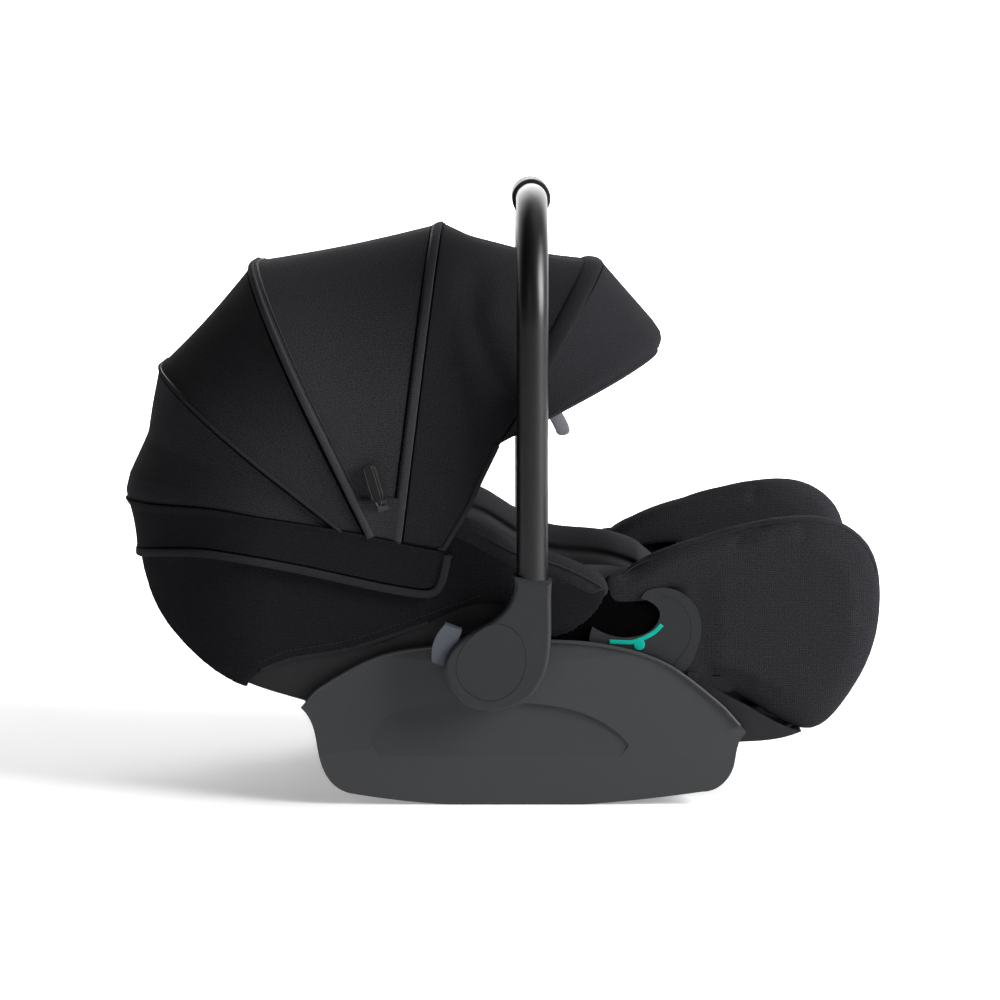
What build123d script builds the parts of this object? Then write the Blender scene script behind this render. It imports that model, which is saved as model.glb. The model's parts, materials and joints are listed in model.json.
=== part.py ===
"""Infant car seat: a rocker base, a carry handle on two side hubs, a seat tub that reclines on the same
pivot, a folding canopy on four bows, padded soft goods and a harness.

Millimetres. +X points to the feet, +Z up, and the -Y side is called near. The origin is on the floor,
below the middle of the outline.
"""

from build123d import *
import os
from math import cos, hypot, pi, radians, sin

# Pivot that the handle and the seat share
PIVOT_X = -6.0
PIVOT_Z = 138.0
PIN_R = 10.0
SEAT_PIN_R = 8.0
RUN_CLEAR = 0.05
PIN_FLANGE_R = 17.0
PIN_REACH = 21.0
SHOULDER_GAP = 0.5
SPOT_DEPTH = 3.5

# Stack of half widths, from the tub outwards
SEAT_HALF = 170.0
COVER_GAP = 0.4
COVER_T = 4.6
BASE_GAP = 3.5
BASE_WALL = 6.5
HUB_GAP = 4.0
HUB_T = 31.0
FLANGE_GAP = 0.4
COVER_OUT = SEAT_HALF + COVER_GAP + COVER_T
BASE_IN = COVER_OUT + BASE_GAP
BASE_OUT = BASE_IN + BASE_WALL
HUB_IN = BASE_OUT + HUB_GAP
HUB_OUT = HUB_IN + HUB_T
TUBE_Y = (HUB_IN + HUB_OUT) / 2

# Rocker base, side view
BASE_TOP = [(-181, 91), (-160, 111), (-108, 138), (-40, 149), (45, 152), (100, 147), (150, 131), (196, 97),
            (224, 68)]
BASE_FRONT = [(224, 68), (216, 54), (212, 34), (203, 20), (184, 12.5)]
BASE_FLAT = [(75, 0), (-45, 0)]
BASE_ROCK_FRONT = (130, 5.2)
BASE_ROCK_REAR = (-92, 4.2)
BASE_REAR = [(-137, 11), (-155, 23), (-164, 43), (-171, 76), (-181, 91)]
BASE_FLOOR_T = 6.0
BASE_FLOOR_FRONT = 186.0
BASE_FLOOR_REAR = -152.0
FLOOR_RISE_FRONT = 34.0
FLOOR_RISE_REAR = 22.0
BASE_CROWN = 9.0
BASE_END_IN = 6.0
BASE_WIDEST_Z = 62.0
BASE_ROOF_Z = 170.0
RELIEF = [(-117, 57), (-107, 79), (-70, 93), (0, 96.5), (70, 88), (106, 69), (117, 57)]
RELIEF_LOW = [(117, 57), (98, 36), (45, 22), (0, 19.5), (-45, 22), (-98, 36), (-117, 57)]
RELIEF_DEPTH = 4.0
RELIEF_MARGIN = 4.0

# Steel bars that a vehicle base or a stroller takes hold of
DOCK_BAR_R = 5.0
DOCK_BAR_Z = 11.0
DOCK_BAR_HALF = 150.0
DOCK_BAR_X = (-118.0, 150.0)
DOCK_SLOT_HALF = 110.0
DOCK_SLOT_W = 34.0

# Carry handle
HANDLE_OFFSET = 35.0
HANDLE_X = PIVOT_X + HANDLE_OFFSET
HANDLE_CORNER_R = 110.0
TUBE_R = 14.2
TUBE_WALL = 2.0
TUBE_FOOT_Z = 176.0
SOCKET_CLEAR = 0.1
GRIP_R = 18.0
GRIP_HALF = 72.0
GRIP_ROUND = 1.5
HUB_SHAPE = [(12, 216), (11, 199), (-5, 178), (-34, 160), (-49, 141), (-47, 118), (-30, 99), (-6, 94),
             (20, 101), (38, 121), (45, 148), (46, 175), (46.5, 211)]
HUB_ROUND = 4.0
HUB_POCKET_R = 33.0
HUB_POCKET_DEPTH = 23.0
HUB_PLATE_T = 3.0
CAP_SHAPE = [(-39, 137), (-31, 114), (-9, 104), (13, 114), (23, 140), (17, 163), (0, 173.5), (-22, 165)]
CAP_CENTRE = (-7.0, 138.0)
CAP_DEPTH = 1.6
CAP_GROOVE = 0.4
GEAR_R = 22.0
GEAR_TOOTH = 3.0
GEAR_TEETH = 24
GEAR_T = 8.0
GEAR_GAP = 2.0
SCREW_R = 2.2
SCREW_HEAD_R = 3.4
SCREW_HEAD_T = 1.6
SCREW_LENGTH = 9.0
SCREW_CIRCLE_R = 29.0
SCREW_COUNT = 3
SCREW_SPREAD = 70.0
POST_R = 4.6

# Handle release buttons
BUTTON_ANGLE = 161.0
BUTTON_IN = 36.0
BUTTON_SIDE = 52.0
BUTTON_OUT = 56.5
BUTTON_HALF = 18.0
BUTTON_T = 17.0
BUTTON_GAP = 0.4
BUTTON_TRAVEL = 5.0

# Seat tub, side view: the outside of its underside from the head to the feet, and its rim
TUB_BELOW = [(-336, 252), (-331, 215), (-318, 183), (-292, 151), (-260, 126), (-228, 111), (-160, 90),
             (-80, 62), (0, 46), (70, 44), (150, 52), (215, 57), (258, 61), (300, 82), (328, 120), (338, 168)]
TUB_RIM = [(-345, 250), (-200, 255), (-100, 257), (-25, 248), (20, 226), (60, 208), (100, 199), (140, 193),
           (175, 188), (250, 180), (345, 172)]
TUB_TOP = 330.0
TUB_REAR = -336.0
TUB_FRONT = 338.0
TUB_REAR_ROUND = 128.0
TUB_FRONT_ROUND = 60.0
TUB_WALL = 4.0
CUT_MARGIN = 1.0
BOSS_R = 15.0
BOSS_T = 4.5
COVER_LOW = [(-232, 90), (-222, 119), (-191, 131), (-136, 141), (-73, 162), (-12, 184), (16, 176), (40, 153),
             (58, 155), (98, 207)]

# Soft goods inside the tub
SOFT_GAP = 0.4
LINER_T = 14.0
LINER_RISE = 6.0
PAD_GAP = 1.4
INSERT_X = (-128.0, -70.0, -10.0, 50.0, 104.0)
INSERT_HALF = (88.0, 112.0, 116.0, 108.0, 78.0)
INSERT_EDGE = 9.0
INSERT_CROWN = 25.0
LEG_PAD_X = (124.0, 180.0, 240.0, 286.0)
LEG_PAD_HALF = (84.0, 100.0, 100.0, 78.0)
LEG_PAD_EDGE = 7.0
LEG_PAD_CROWN = 18.0
RAIL_X = (-252.0, -138.0)
RAIL_HALF = 6.0
RAIL_H = 5.0
RAIL_GAP = 0.3
LIP_T = 3.0
LIP_H = 2.5
PILLOW_AT = (31.0, 48.0, 84.0, 106.0)
PILLOW_HALF = (58.0, 82.0, 84.0, 66.0)
PILLOW_EDGE = 16.0
PILLOW_CROWN = 34.0
PLATE_T = 4.0
PLATE_HALF = 50.0

# Padded side wings at the feet
WING_SHAPE = [(97, 204), (136, 231), (190, 249), (250, 261), (303, 260), (336, 236), (347, 190), (339, 135),
              (316, 92), (288, 68), (262, 72), (223, 93), (179, 127), (187, 163), (166, 200), (132, 200)]
WING_CENTRE = (245.0, 206.0)
WING_SPREAD = [(0.0, 0.86), (11.0, 0.965), (25.0, 1.0), (38.0, 0.975), (46.0, 0.88)]
WING_OUT = COVER_OUT
WING_CLEAR = 1.2

# Vehicle belt guides
GUIDE_OUTER = [(84, 164), (82, 147), (130, 126), (168, 124), (180, 146), (183, 165), (177, 184), (163, 196),
               (146, 200), (132, 196), (128, 190)]
GUIDE_INNER = [(128, 190), (138, 186), (145, 178), (142, 166), (127, 156), (104, 155), (84, 164)]
MARK_PATH = [(100, 150), (122, 149.5), (136, 155), (147, 166)]
MARK_W = 4.6
MARK_DISC_R = 5.4
MARK_T = 0.5

# Canopy
CANOPY_X = -75.0
CANOPY_Z = 228.0
CLOTH_T = 2.0
BOW_R = 2.5
BOW_CLEAR = 0.6
BOW_GAP = 0.9
CANOPY_HALF = COVER_OUT + BOW_CLEAR + 2 * BOW_R + BOW_GAP + CLOTH_T
CANOPY_CORNER = 150.0
HEM_OFFSET = CANOPY_HALF - SEAT_HALF
HEM_T = 2.0
HEM_FRONT = -44.0
HEM_LOW = [(-48, 218), (-55, 199), (-68, 191), (-108, 198), (-181, 215), (-271, 228)]
HEM_REAR_LOW = 212.0
HEM_SEAM_GAP = 0.4
SEAM_LIFT = 17.0
SEAM_ANGLE = 174.6
SEAM_RADIUS = 277.0
SEAM_FOOT = 44.0
BOWS = ("bow_rear", "bow_zip_rear", "bow_zip_front", "bow_front")
PANELS = ("canopy_panel_rear", "canopy_panel_middle", "canopy_panel_zip", "canopy_panel_front")
BOW_ANGLES = (146.4, 121.6, 87.0, 56.2)
BOW_RADII = (298.0, 303.0, 295.0, 309.0)
CLOTH_FEET = (42.0, 26.0, 24.0, 26.0)
VISOR_ANGLE = 41.5
VISOR_RADIUS = 300.0
VISOR_FOOT = 176.0
HANDLE_CLEAR = 12.0
HANDLE_CROSS_Z = CANOPY_Z + BOW_RADII[-1] + HANDLE_CLEAR
BOW_FOOT = 52.0
ARM_T = 1.1
ARM_STEP = 1.3
ARM_W = 7.0
ARM_EYE_R = 8.0
CANOPY_PIN_R = 4.0
CANOPY_PIN_END = 0.2
TAB_SHAPE = [(40, 356), (56, 352), (67, 332), (60, 320), (46, 322), (38, 340)]
TAB_HOLE = (54.0, 333.0)
TAB_HOLE_R = 5.0
TAB_T = 2.4
TAB_IN = 3.4

# Zip slider and its pull, on the near side
ZIP_AT = (-106.0, 276.0)
ZIP_TURN = 16.0
ZIP_STAND = 3.3
ZIP_GAP = 0.3
ZIP_PLATE_T = 1.1
ZIP_WIDE = 10.0
ZIP_LONG = 9.0
ZIP_LUG_T = 1.4
ZIP_EYE_R = 1.6
ZIP_PIN_R = 1.0
ZIP_NECK = 5.0
ZIP_NECK_LONG = 8.0
ZIP_TAB_W = 11.0
ZIP_TAB_LONG = 28.0

# Recline: rack on the base, latch and cable under the tub, handle at the feet
RACK_TOP_R = 104.0
RACK_HALF_ANGLE = 16.0
RACK_HALF_T = 6.0
RACK_NOTCH_ANGLES = (0.0, 4.0, 8.0)
NOTCH_R = 3.0
LATCH_W = 5.0
LATCH_HALF = 5.0
LATCH_CLEAR = 0.5
LATCH_TOP_GAP = 1.0
LATCH_TRAVEL = 4.0
HOUSING_WALL = 3.0
HOUSING_H = 8.0
HOUSING_GAP = 0.3
CABLE_R = 2.0
CABLE_DROP = 3.9
CABLE_SIDE_GAP = 0.5
CABLE_X = (-6.0, 75.0, 140.0, 205.0, 260.0)
CABLE_BEND = 60.0
RECLINE_HANDLE_X = (262.0, 316.0)
RECLINE_HANDLE_HALF = 42.0
RECLINE_HANDLE_GAP = 0.3
RECLINE_HANDLE_T = 6.0

# Harness
STRAP_W = 36.0
STRAP_T = 1.8
STRAP_LIFT = 0.4
STRAP_SINK = 1.1
STRAP_Y = 46.0
STRAP_X = -126.0
SHOULDER_PAD_X = (-104.0, -26.0)
SHOULDER_PAD_W = 46.0
SHOULDER_PAD_T = 8.0
BUCKLE_X = (12.0, 60.0)
BUCKLE_HALF = 21.0
BUCKLE_T = 19.0
BUCKLE_ROUND = 4.0
BUCKLE_BUTTON = (20.0, 24.0)
BUCKLE_BUTTON_DEPTH = 5.0
BUCKLE_BUTTON_PROUD = 1.2
BUCKLE_BUTTON_TRAVEL = 2.5
TONGUE_T = 2.2
TONGUE_W = 22.0
TONGUE_LENGTH = 18.0
TONGUE_IN = 6.0
CROTCH_X = 98.0
CROTCH_W = 30.0
CROTCH_PAD_T = 5.0
ADJUSTER_X = 205.0
ADJUSTER_SIZE = (46.0, 40.0, 6.0)
ADJUSTER_BUTTON = (22.0, 22.0)
ADJUSTER_PROUD = 1.5
ADJUSTER_FLOOR = 1.2
ADJUSTER_TRAVEL = 2.0

# Clips that hold the cover's elastic to the tub
CLIP_AT = (176.0, 118.0)
CLIP_SIZE = (10.0, 8.0)
CLIP_T = 4.0


def edge_through(points, y=0.0):
    """A smooth line through side-view points (x, z)."""
    return Spline(*[(x, y, z) for x, z in points])


def lines_through(points, y=0.0):
    """Straight runs through side-view points (x, z)."""
    return Polyline(*[(x, y, z) for x, z in points])


def slab(face, low_y, high_y):
    """A side-view face given its width, from low_y to high_y."""
    return Pos(0, low_y, 0) * extrude(face, amount=high_y - low_y, dir=(0, 1, 0))


def rectangle(low_x, high_x, low_z, high_z):
    """A side-view rectangle."""
    corners = [(low_x, low_z), (high_x, low_z), (high_x, high_z), (low_x, high_z), (low_x, low_z)]
    return make_face(lines_through(corners))


def rod(x, z, radius, low_y, high_y):
    """A round bar along Y."""
    return Pos(x, (low_y + high_y) / 2, z) * Cylinder(radius, high_y - low_y, rotation=(90, 0, 0))


def pair(near):
    """A near-side solid and its mirror image on the far side."""
    return [near, mirror(near, about=Plane.XZ)]


def one(shape):
    """The single solid of a shape, largest first if a cut left crumbs."""
    return shape.solids().sort_by(SortBy.VOLUME)[-1]


def write(name, *solids):
    """One STEP file for a node, holding its separate solids."""
    shape = solids[0] if len(solids) == 1 else Compound(children=list(solids))
    export_step(shape, f"parts/{name}.step")


def shifted(points, distance, closed=False):
    """Side-view points moved to the right of the line through them, square to it."""
    moved = []
    last = len(points) - 1
    for i, (x, z) in enumerate(points):
        x0, z0 = points[i - 1 if closed else max(i - 1, 0)]
        x1, z1 = points[(i + 1) % len(points) if closed else min(i + 1, last)]
        length = hypot(x1 - x0, z1 - z0)
        moved.append((x + distance * (z1 - z0) / length, z - distance * (x1 - x0) / length))
    return moved


def tub_body(grow):
    """The tub's outside grown by a distance: its side view crossed with its rounded plan."""
    below = shifted(TUB_BELOW, grow)
    start, end = below[0], below[-1]
    lid = lines_through([end, (end[0], TUB_TOP), (start[0], TUB_TOP), start])
    wide = SEAT_HALF + grow + CUT_MARGIN
    side = slab(make_face([edge_through(below), lid]), -wide, wide)
    length = TUB_FRONT - TUB_REAR + 2 * grow
    plan = Pos((TUB_FRONT + TUB_REAR) / 2, 0) * Rectangle(length, 2 * (SEAT_HALF + grow))
    plan = fillet(plan.vertices().group_by(Axis.X)[0], TUB_REAR_ROUND + grow)
    plan = fillet(plan.vertices().group_by(Axis.X)[-1], TUB_FRONT_ROUND + grow)
    return side & extrude(plan, amount=TUB_TOP + CUT_MARGIN, dir=(0, 0, 1))


def below_line(points, low_z):
    """Side-view region under a smooth line."""
    (x0, _), (x1, _) = points[0], points[-1]
    floor = lines_through([points[-1], (x1, low_z), (x0, low_z), points[0]])
    return make_face([edge_through(points), floor])


def tub_layer(inner, outer, low_x, high_x, low_y, high_y):
    """A strip of a layer that follows the tub's underside, between two distances inside it."""
    top, low = shifted(TUB_BELOW, -outer), shifted(TUB_BELOW, -inner)
    ends = [lines_through([low[-1], top[-1]]), lines_through([top[0], low[0]])]
    face = make_face([edge_through(low), ends[0], edge_through(top), ends[1]])
    return one(slab(face, low_y, high_y) & slab(rectangle(low_x, high_x, 0, TUB_TOP), low_y, high_y))


def tub_at(x):
    """Point on the tub's underside at x, and the unit direction into the tub there."""
    line = edge_through(TUB_BELOW[3:-2])
    low, high = 0.0, 1.0
    for _ in range(40):
        middle = (low + high) / 2
        low, high = (middle, high) if (line @ middle).X < x else (low, middle)
    place, along = line @ low, line % low
    return (place.X, place.Z), (-along.Z, along.X)


def crowned_pad(places, halves, lift, edge, crown):
    """A cushion along a row of places: flat below, a low edge at each side and a crown in the middle."""
    sections = []
    for ((px, pz), (nx, nz)), half in zip(places, halves):

        def at(y, height):
            return (px + (lift + height) * nx, y, pz + (lift + height) * nz)

        top = ThreePointArc(at(half, edge), at(0, crown), at(-half, edge))
        rest = Polyline(at(-half, edge), at(-half, 0), at(half, 0), at(half, edge))
        sections.append(make_face([rest, top]))
    return loft(sections)


def wing_face(share, y):
    """The wing's outline drawn in towards its centre."""
    cx, cz = WING_CENTRE
    points = [(cx + share * (x - cx), y, cz + share * (z - cz)) for x, z in WING_SHAPE]
    return make_face(Spline(*points, periodic=True))


def spoke(angle, radius):
    """Side-view point at an angle and a radius from the canopy's pivot."""
    return CANOPY_X + radius * cos(radians(angle)), CANOPY_Z + radius * sin(radians(angle))


def hoop(angle, radius, foot, half, corner, lift=0.0):
    """Edges of an arch over the seat, in the plane that holds the pivot line at an angle."""

    def at(y, r):
        x, z = spoke(angle, r)
        return (x, y, z + lift)

    turn = corner * (1 - cos(pi / 4))
    rise = radius - corner
    return [
        Line(at(-half, foot), at(-half, rise)),
        ThreePointArc(at(-half, rise), at(-half + turn, radius - turn), at(-half + corner, radius)),
        Line(at(-half + corner, radius), at(half - corner, radius)),
        ThreePointArc(at(half - corner, radius), at(half - turn, radius - turn), at(half, rise)),
        Line(at(half, rise), at(half, foot)),
    ]


def cloth_hoop(angle, radius, foot, lift=0.0):
    """Cross-section of the canopy cloth along one arch."""
    outer = hoop(angle, radius, foot, CANOPY_HALF, CANOPY_CORNER, lift)
    inner = hoop(angle, radius - CLOTH_T, foot, CANOPY_HALF - CLOTH_T, CANOPY_CORNER - CLOTH_T, lift)
    ends = [Line(outer[0] @ 0, inner[0] @ 0), Line(outer[-1] @ 1, inner[-1] @ 1)]
    return make_face([*outer, *inner, *ends])


def cloth_panel(first, second):
    """Cloth stretched straight from one arch to the next."""
    return loft([first, second], ruled=True)


def base_prism(shrink):
    """The base's plan crossed with its bowed cross-section, both drawn in by a distance."""
    middle, end = BASE_OUT - shrink, BASE_OUT - BASE_END_IN - shrink
    far_x = TUB_FRONT
    side = ThreePointArc((-far_x, end, 0), (0, middle, 0), (far_x, end, 0))
    other = ThreePointArc((far_x, -end, 0), (0, -middle, 0), (-far_x, -end, 0))
    ends = [Line((far_x, end, 0), (far_x, -end, 0)), Line((-far_x, -end, 0), (-far_x, end, 0))]
    plan = extrude(make_face([side, *ends, other]), amount=TUB_TOP, dir=(0, 0, 1))
    low, high = middle - BASE_CROWN, middle - BASE_CROWN / 2
    roof = BASE_ROOF_Z
    wall = ThreePointArc((-far_x, low, 0), (-far_x, middle, BASE_WIDEST_Z), (-far_x, high, roof))
    back = ThreePointArc((-far_x, -high, roof), (-far_x, -middle, BASE_WIDEST_Z), (-far_x, -low, 0))
    caps = [Line((-far_x, high, roof), (-far_x, -high, roof)), Line((-far_x, -low, 0), (-far_x, low, 0))]
    return plan & extrude(make_face([wall, caps[0], back, caps[1]]), amount=2 * far_x, dir=(1, 0, 0))


def make_base_shell():
    """Two bowed side panels on a rocker floor, open at the top and at both ends between the panels."""
    bottom = [
        edge_through([BASE_FRONT[-1], BASE_ROCK_FRONT, BASE_FLAT[0]]),
        lines_through(BASE_FLAT),
        edge_through([BASE_FLAT[1], BASE_ROCK_REAR, BASE_REAR[0]]),
    ]
    ends = [edge_through(BASE_FRONT), edge_through(BASE_REAR)]
    profile = make_face([edge_through(BASE_TOP), *ends, *bottom])
    solid = slab(profile, -BASE_OUT, BASE_OUT) & base_prism(0)
    under = [(TUB_REAR, FLOOR_RISE_REAR), BASE_ROCK_REAR, BASE_FLAT[1], BASE_FLAT[0], BASE_ROCK_FRONT,
             (TUB_FRONT, FLOOR_RISE_FRONT)]
    floor = [(x, z + BASE_FLOOR_T) for x, z in under]
    above = lines_through([floor[-1], (TUB_FRONT, TUB_TOP), (TUB_REAR, TUB_TOP), floor[0]])
    inside = base_prism(BASE_WALL)
    solid = solid - (slab(make_face([edge_through(floor), above]), -BASE_OUT, BASE_OUT) & inside)
    for low_x, high_x in ((BASE_FLOOR_FRONT, TUB_FRONT), (TUB_REAR, BASE_FLOOR_REAR)):
        solid = solid - (slab(rectangle(low_x, high_x, 0, TUB_TOP), -BASE_OUT, BASE_OUT) & inside)
    dish = make_face([edge_through(RELIEF), edge_through(RELIEF_LOW)])
    top_z = max(z for _, z in RELIEF)
    low_z = min(z for _, z in RELIEF_LOW)
    out_y, deep_y = -BASE_OUT - RELIEF_MARGIN, -BASE_OUT + RELIEF_DEPTH
    low_z, high_z = low_z - RELIEF_MARGIN, top_z + RELIEF_MARGIN
    lean = [(out_y, low_z), (-BASE_OUT, low_z), (deep_y, high_z), (out_y, high_z), (out_y, low_z)]
    wedge = make_face(Polyline(*[(0, y, z) for y, z in lean]))
    dish_cut = slab(dish, out_y, -BASE_IN) & extrude(wedge, amount=BASE_OUT, dir=(1, 0, 0), both=True)
    for cut in pair(dish_cut):
        solid = solid - cut
    solid = solid - rod(PIVOT_X, PIVOT_Z, PIN_R + RUN_CLEAR, -HUB_OUT, HUB_OUT)
    for spot in pair(rod(PIVOT_X, PIVOT_Z, PIN_FLANGE_R + RUN_CLEAR, -HUB_OUT, -BASE_OUT + SPOT_DEPTH)):
        solid = solid - spot
    for x in DOCK_BAR_X:
        slot = Pos(x, 0, DOCK_BAR_Z) * Box(DOCK_SLOT_W, 2 * DOCK_SLOT_HALF, 4 * DOCK_BAR_Z)
        bore = rod(x, DOCK_BAR_Z, DOCK_BAR_R + RUN_CLEAR, -DOCK_BAR_HALF, DOCK_BAR_HALF)
        solid = solid - slot - bore
    return solid


def make_base_parts():
    """The base body: its shell, pivot pins, lock gears for the handle, docking bars and recline rack."""
    write("base_shell", make_base_shell())
    shoulder = SEAT_HALF + BOSS_T + SHOULDER_GAP
    flange = rod(PIVOT_X, PIVOT_Z, PIN_FLANGE_R, -HUB_IN + FLANGE_GAP, -BASE_OUT + SPOT_DEPTH)
    shaft = rod(PIVOT_X, PIVOT_Z, PIN_R, -HUB_IN - PIN_REACH, -shoulder)
    neck = rod(PIVOT_X, PIVOT_Z, SEAT_PIN_R, -shoulder, -SEAT_HALF + TUB_WALL)
    write("pivot_pins", *pair(one(flange + shaft + neck)))
    count = 2 * GEAR_TEETH
    rim = []
    for i in range(count + 1):
        radius = GEAR_R - GEAR_TOOTH * (i % 2)
        turn = 2 * pi * i / count
        rim.append((PIVOT_X + radius * cos(turn), PIVOT_Z + radius * sin(turn)))
    gear_at = HUB_IN + HUB_PLATE_T + GEAR_GAP
    gear = slab(make_face(lines_through(rim)), -gear_at - GEAR_T, -gear_at)
    write("lock_gears", *pair(one(gear - rod(PIVOT_X, PIVOT_Z, PIN_R, -HUB_OUT, 0))))
    for name, x in zip(("dock_bar_rear", "dock_bar_front"), DOCK_BAR_X):
        write(name, rod(x, DOCK_BAR_Z, DOCK_BAR_R, -DOCK_BAR_HALF, DOCK_BAR_HALF))
    write("recline_rack", make_recline_rack())


def pivot_spoke(angle, radius):
    """Side-view point below the pivot, at an angle towards the feet."""
    return PIVOT_X + radius * sin(radians(angle)), PIVOT_Z - radius * cos(radians(angle))


def make_recline_rack():
    """A toothed arc about the pivot that stands on the base floor."""
    crest = [pivot_spoke(angle, RACK_TOP_R) for angle in (-RACK_HALF_ANGLE, 0, RACK_HALF_ANGLE)]
    left, middle, right = [(x, 0, z) for x, z in crest]
    foot = Polyline(right, (right[0], 0, BASE_FLOOR_T), (left[0], 0, BASE_FLOOR_T), left)
    rack = slab(make_face([ThreePointArc(left, middle, right), foot]), -RACK_HALF_T, RACK_HALF_T)
    for angle in RACK_NOTCH_ANGLES:
        x, z = pivot_spoke(-angle, RACK_TOP_R)
        rack = rack - rod(x, z, NOTCH_R, -RACK_HALF_T, RACK_HALF_T)
    return one(rack)


def cap_face(grow):
    """The hub cap's egg outline, grown by a distance."""
    cx, cz = CAP_CENTRE
    share = 1 + grow / (PIVOT_Z - CAP_SHAPE[2][1])
    points = [(cx + share * (x - cx), 0, cz + share * (z - cz)) for x, z in CAP_SHAPE]
    return make_face(Spline(*points, periodic=True))


def button_frame(y):
    """Plane of the release button: x along its stroke, out of the hub, and z towards the near side."""
    out = (cos(radians(BUTTON_ANGLE)), 0, sin(radians(BUTTON_ANGLE)))
    return Plane(origin=(PIVOT_X, y, PIVOT_Z), x_dir=out, z_dir=(0, -1, 0))


def make_hub():
    """Near hub: a teardrop with the tube's socket, a pocket for the lock and a slot for the button."""
    top = lines_through([HUB_SHAPE[-1], HUB_SHAPE[0]])
    hub = slab(make_face([edge_through(HUB_SHAPE), top]), -HUB_OUT, -HUB_IN)
    hub = fillet(hub.faces().sort_by(Axis.Y)[0].edges(), HUB_ROUND)
    hub = hub - rod(PIVOT_X, PIVOT_Z, HUB_POCKET_R, -HUB_IN - HUB_POCKET_DEPTH, -HUB_IN)
    for x, z in screw_places():
        hub = hub + rod(x, z, POST_R, -HUB_IN - HUB_POCKET_DEPTH, -HUB_IN - HUB_PLATE_T)
        hub = hub - rod(x, z, SCREW_R + RUN_CLEAR, -HUB_IN - SCREW_LENGTH - RUN_CLEAR, -HUB_IN)
    socket_h = HANDLE_CROSS_Z - TUBE_FOOT_Z
    socket = Pos(HANDLE_X, -TUBE_Y, TUBE_FOOT_Z + socket_h / 2) * Cylinder(TUBE_R + SOCKET_CLEAR, socket_h)
    hub = hub - socket - slab(cap_face(CAP_GROOVE), -HUB_OUT, -HUB_OUT + CAP_DEPTH)
    slot_low = BUTTON_IN - BUTTON_TRAVEL - BUTTON_GAP
    slot_x = (slot_low + BUTTON_OUT + BUTTON_TRAVEL) / 2
    slot = Box(2 * (slot_x - slot_low), 2 * (BUTTON_HALF + BUTTON_GAP), BUTTON_T + 2 * BUTTON_GAP)
    return one(hub - button_frame(-TUBE_Y) * Pos(slot_x, 0, 0) * slot)


def screw_places():
    """Side-view places of the screws that hold one hub's back plate, clear of the button."""
    places = []
    for i in range(SCREW_COUNT):
        turn = radians(BUTTON_ANGLE + 180 + SCREW_SPREAD * (i - (SCREW_COUNT - 1) / 2))
        places.append((PIVOT_X + SCREW_CIRCLE_R * cos(turn), PIVOT_Z + SCREW_CIRCLE_R * sin(turn)))
    return places


def make_handle_parts():
    """The handle body: a bent tube with a grip, and on each side a hub, its cap, back plate and screws."""
    low, high = TUBE_FOOT_Z, HANDLE_CROSS_Z
    corners = [(-TUBE_Y, low), (-TUBE_Y, high), (TUBE_Y, high), (TUBE_Y, low)]
    path = FilletPolyline(*[(HANDLE_X, y, z) for y, z in corners], radius=HANDLE_CORNER_R)
    start = Plane(origin=path @ 0, z_dir=path % 0)
    tube = sweep(start * Circle(TUBE_R), path=path) - sweep(start * Circle(TUBE_R - TUBE_WALL), path=path)
    write("handle_tube", one(tube))
    grip = rod(HANDLE_X, HANDLE_CROSS_Z, GRIP_R, -GRIP_HALF, GRIP_HALF)
    grip = grip - rod(HANDLE_X, HANDLE_CROSS_Z, TUBE_R + RUN_CLEAR, -GRIP_HALF, GRIP_HALF)
    outside = grip.faces().filter_by(GeomType.CYLINDER).sort_by(SortBy.AREA)[-1]
    write("handle_grip", one(fillet(outside.edges(), GRIP_ROUND)))
    for name, hub in zip(("hub_near", "hub_far"), pair(make_hub())):
        write(name, hub)
    cap = one(slab(cap_face(0), -HUB_OUT, -HUB_OUT + CAP_DEPTH))
    write("hub_caps", *pair(cap))
    plate = rod(PIVOT_X, PIVOT_Z, HUB_POCKET_R - RUN_CLEAR, -HUB_IN - HUB_PLATE_T, -HUB_IN)
    plate = plate - rod(PIVOT_X, PIVOT_Z, PIN_R + RUN_CLEAR, -HUB_OUT, 0)
    screws = []
    for x, z in screw_places():
        plate = plate - rod(x, z, SCREW_R + RUN_CLEAR, -HUB_OUT, 0)
        shank = rod(x, z, SCREW_R, -HUB_IN - SCREW_LENGTH, -HUB_IN)
        screws.append(one(shank + rod(x, z, SCREW_HEAD_R, -HUB_IN, -HUB_IN + SCREW_HEAD_T)))
    write("hub_back_plates", *pair(one(plate)))
    write("hub_screws", *[solid for screw in screws for solid in pair(screw)])
    frame = button_frame(-TUBE_Y)
    high, low = (BUTTON_SIDE, BUTTON_HALF), (BUTTON_SIDE, -BUTTON_HALF)
    back = Polyline(high, (BUTTON_IN, BUTTON_HALF), (BUTTON_IN, -BUTTON_HALF), low)
    face = make_face([back, ThreePointArc(low, (BUTTON_OUT, 0), high)])
    button = frame * extrude(face, amount=BUTTON_T / 2, both=True)
    for name, solid in zip(("handle_button_near", "handle_button_far"), pair(one(button))):
        write(name, solid)


def wing_room(gap):
    """The space that the two side wings take, with a margin, cut from what lies under them."""
    inner = WING_OUT - WING_SPREAD[-1][0] - gap
    around = shifted(WING_SHAPE, -WING_CLEAR, closed=True)
    face = make_face(Spline(*[(x, 0, z) for x, z in around], periodic=True))
    return pair(slab(face, -CANOPY_HALF, -inner))


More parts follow.
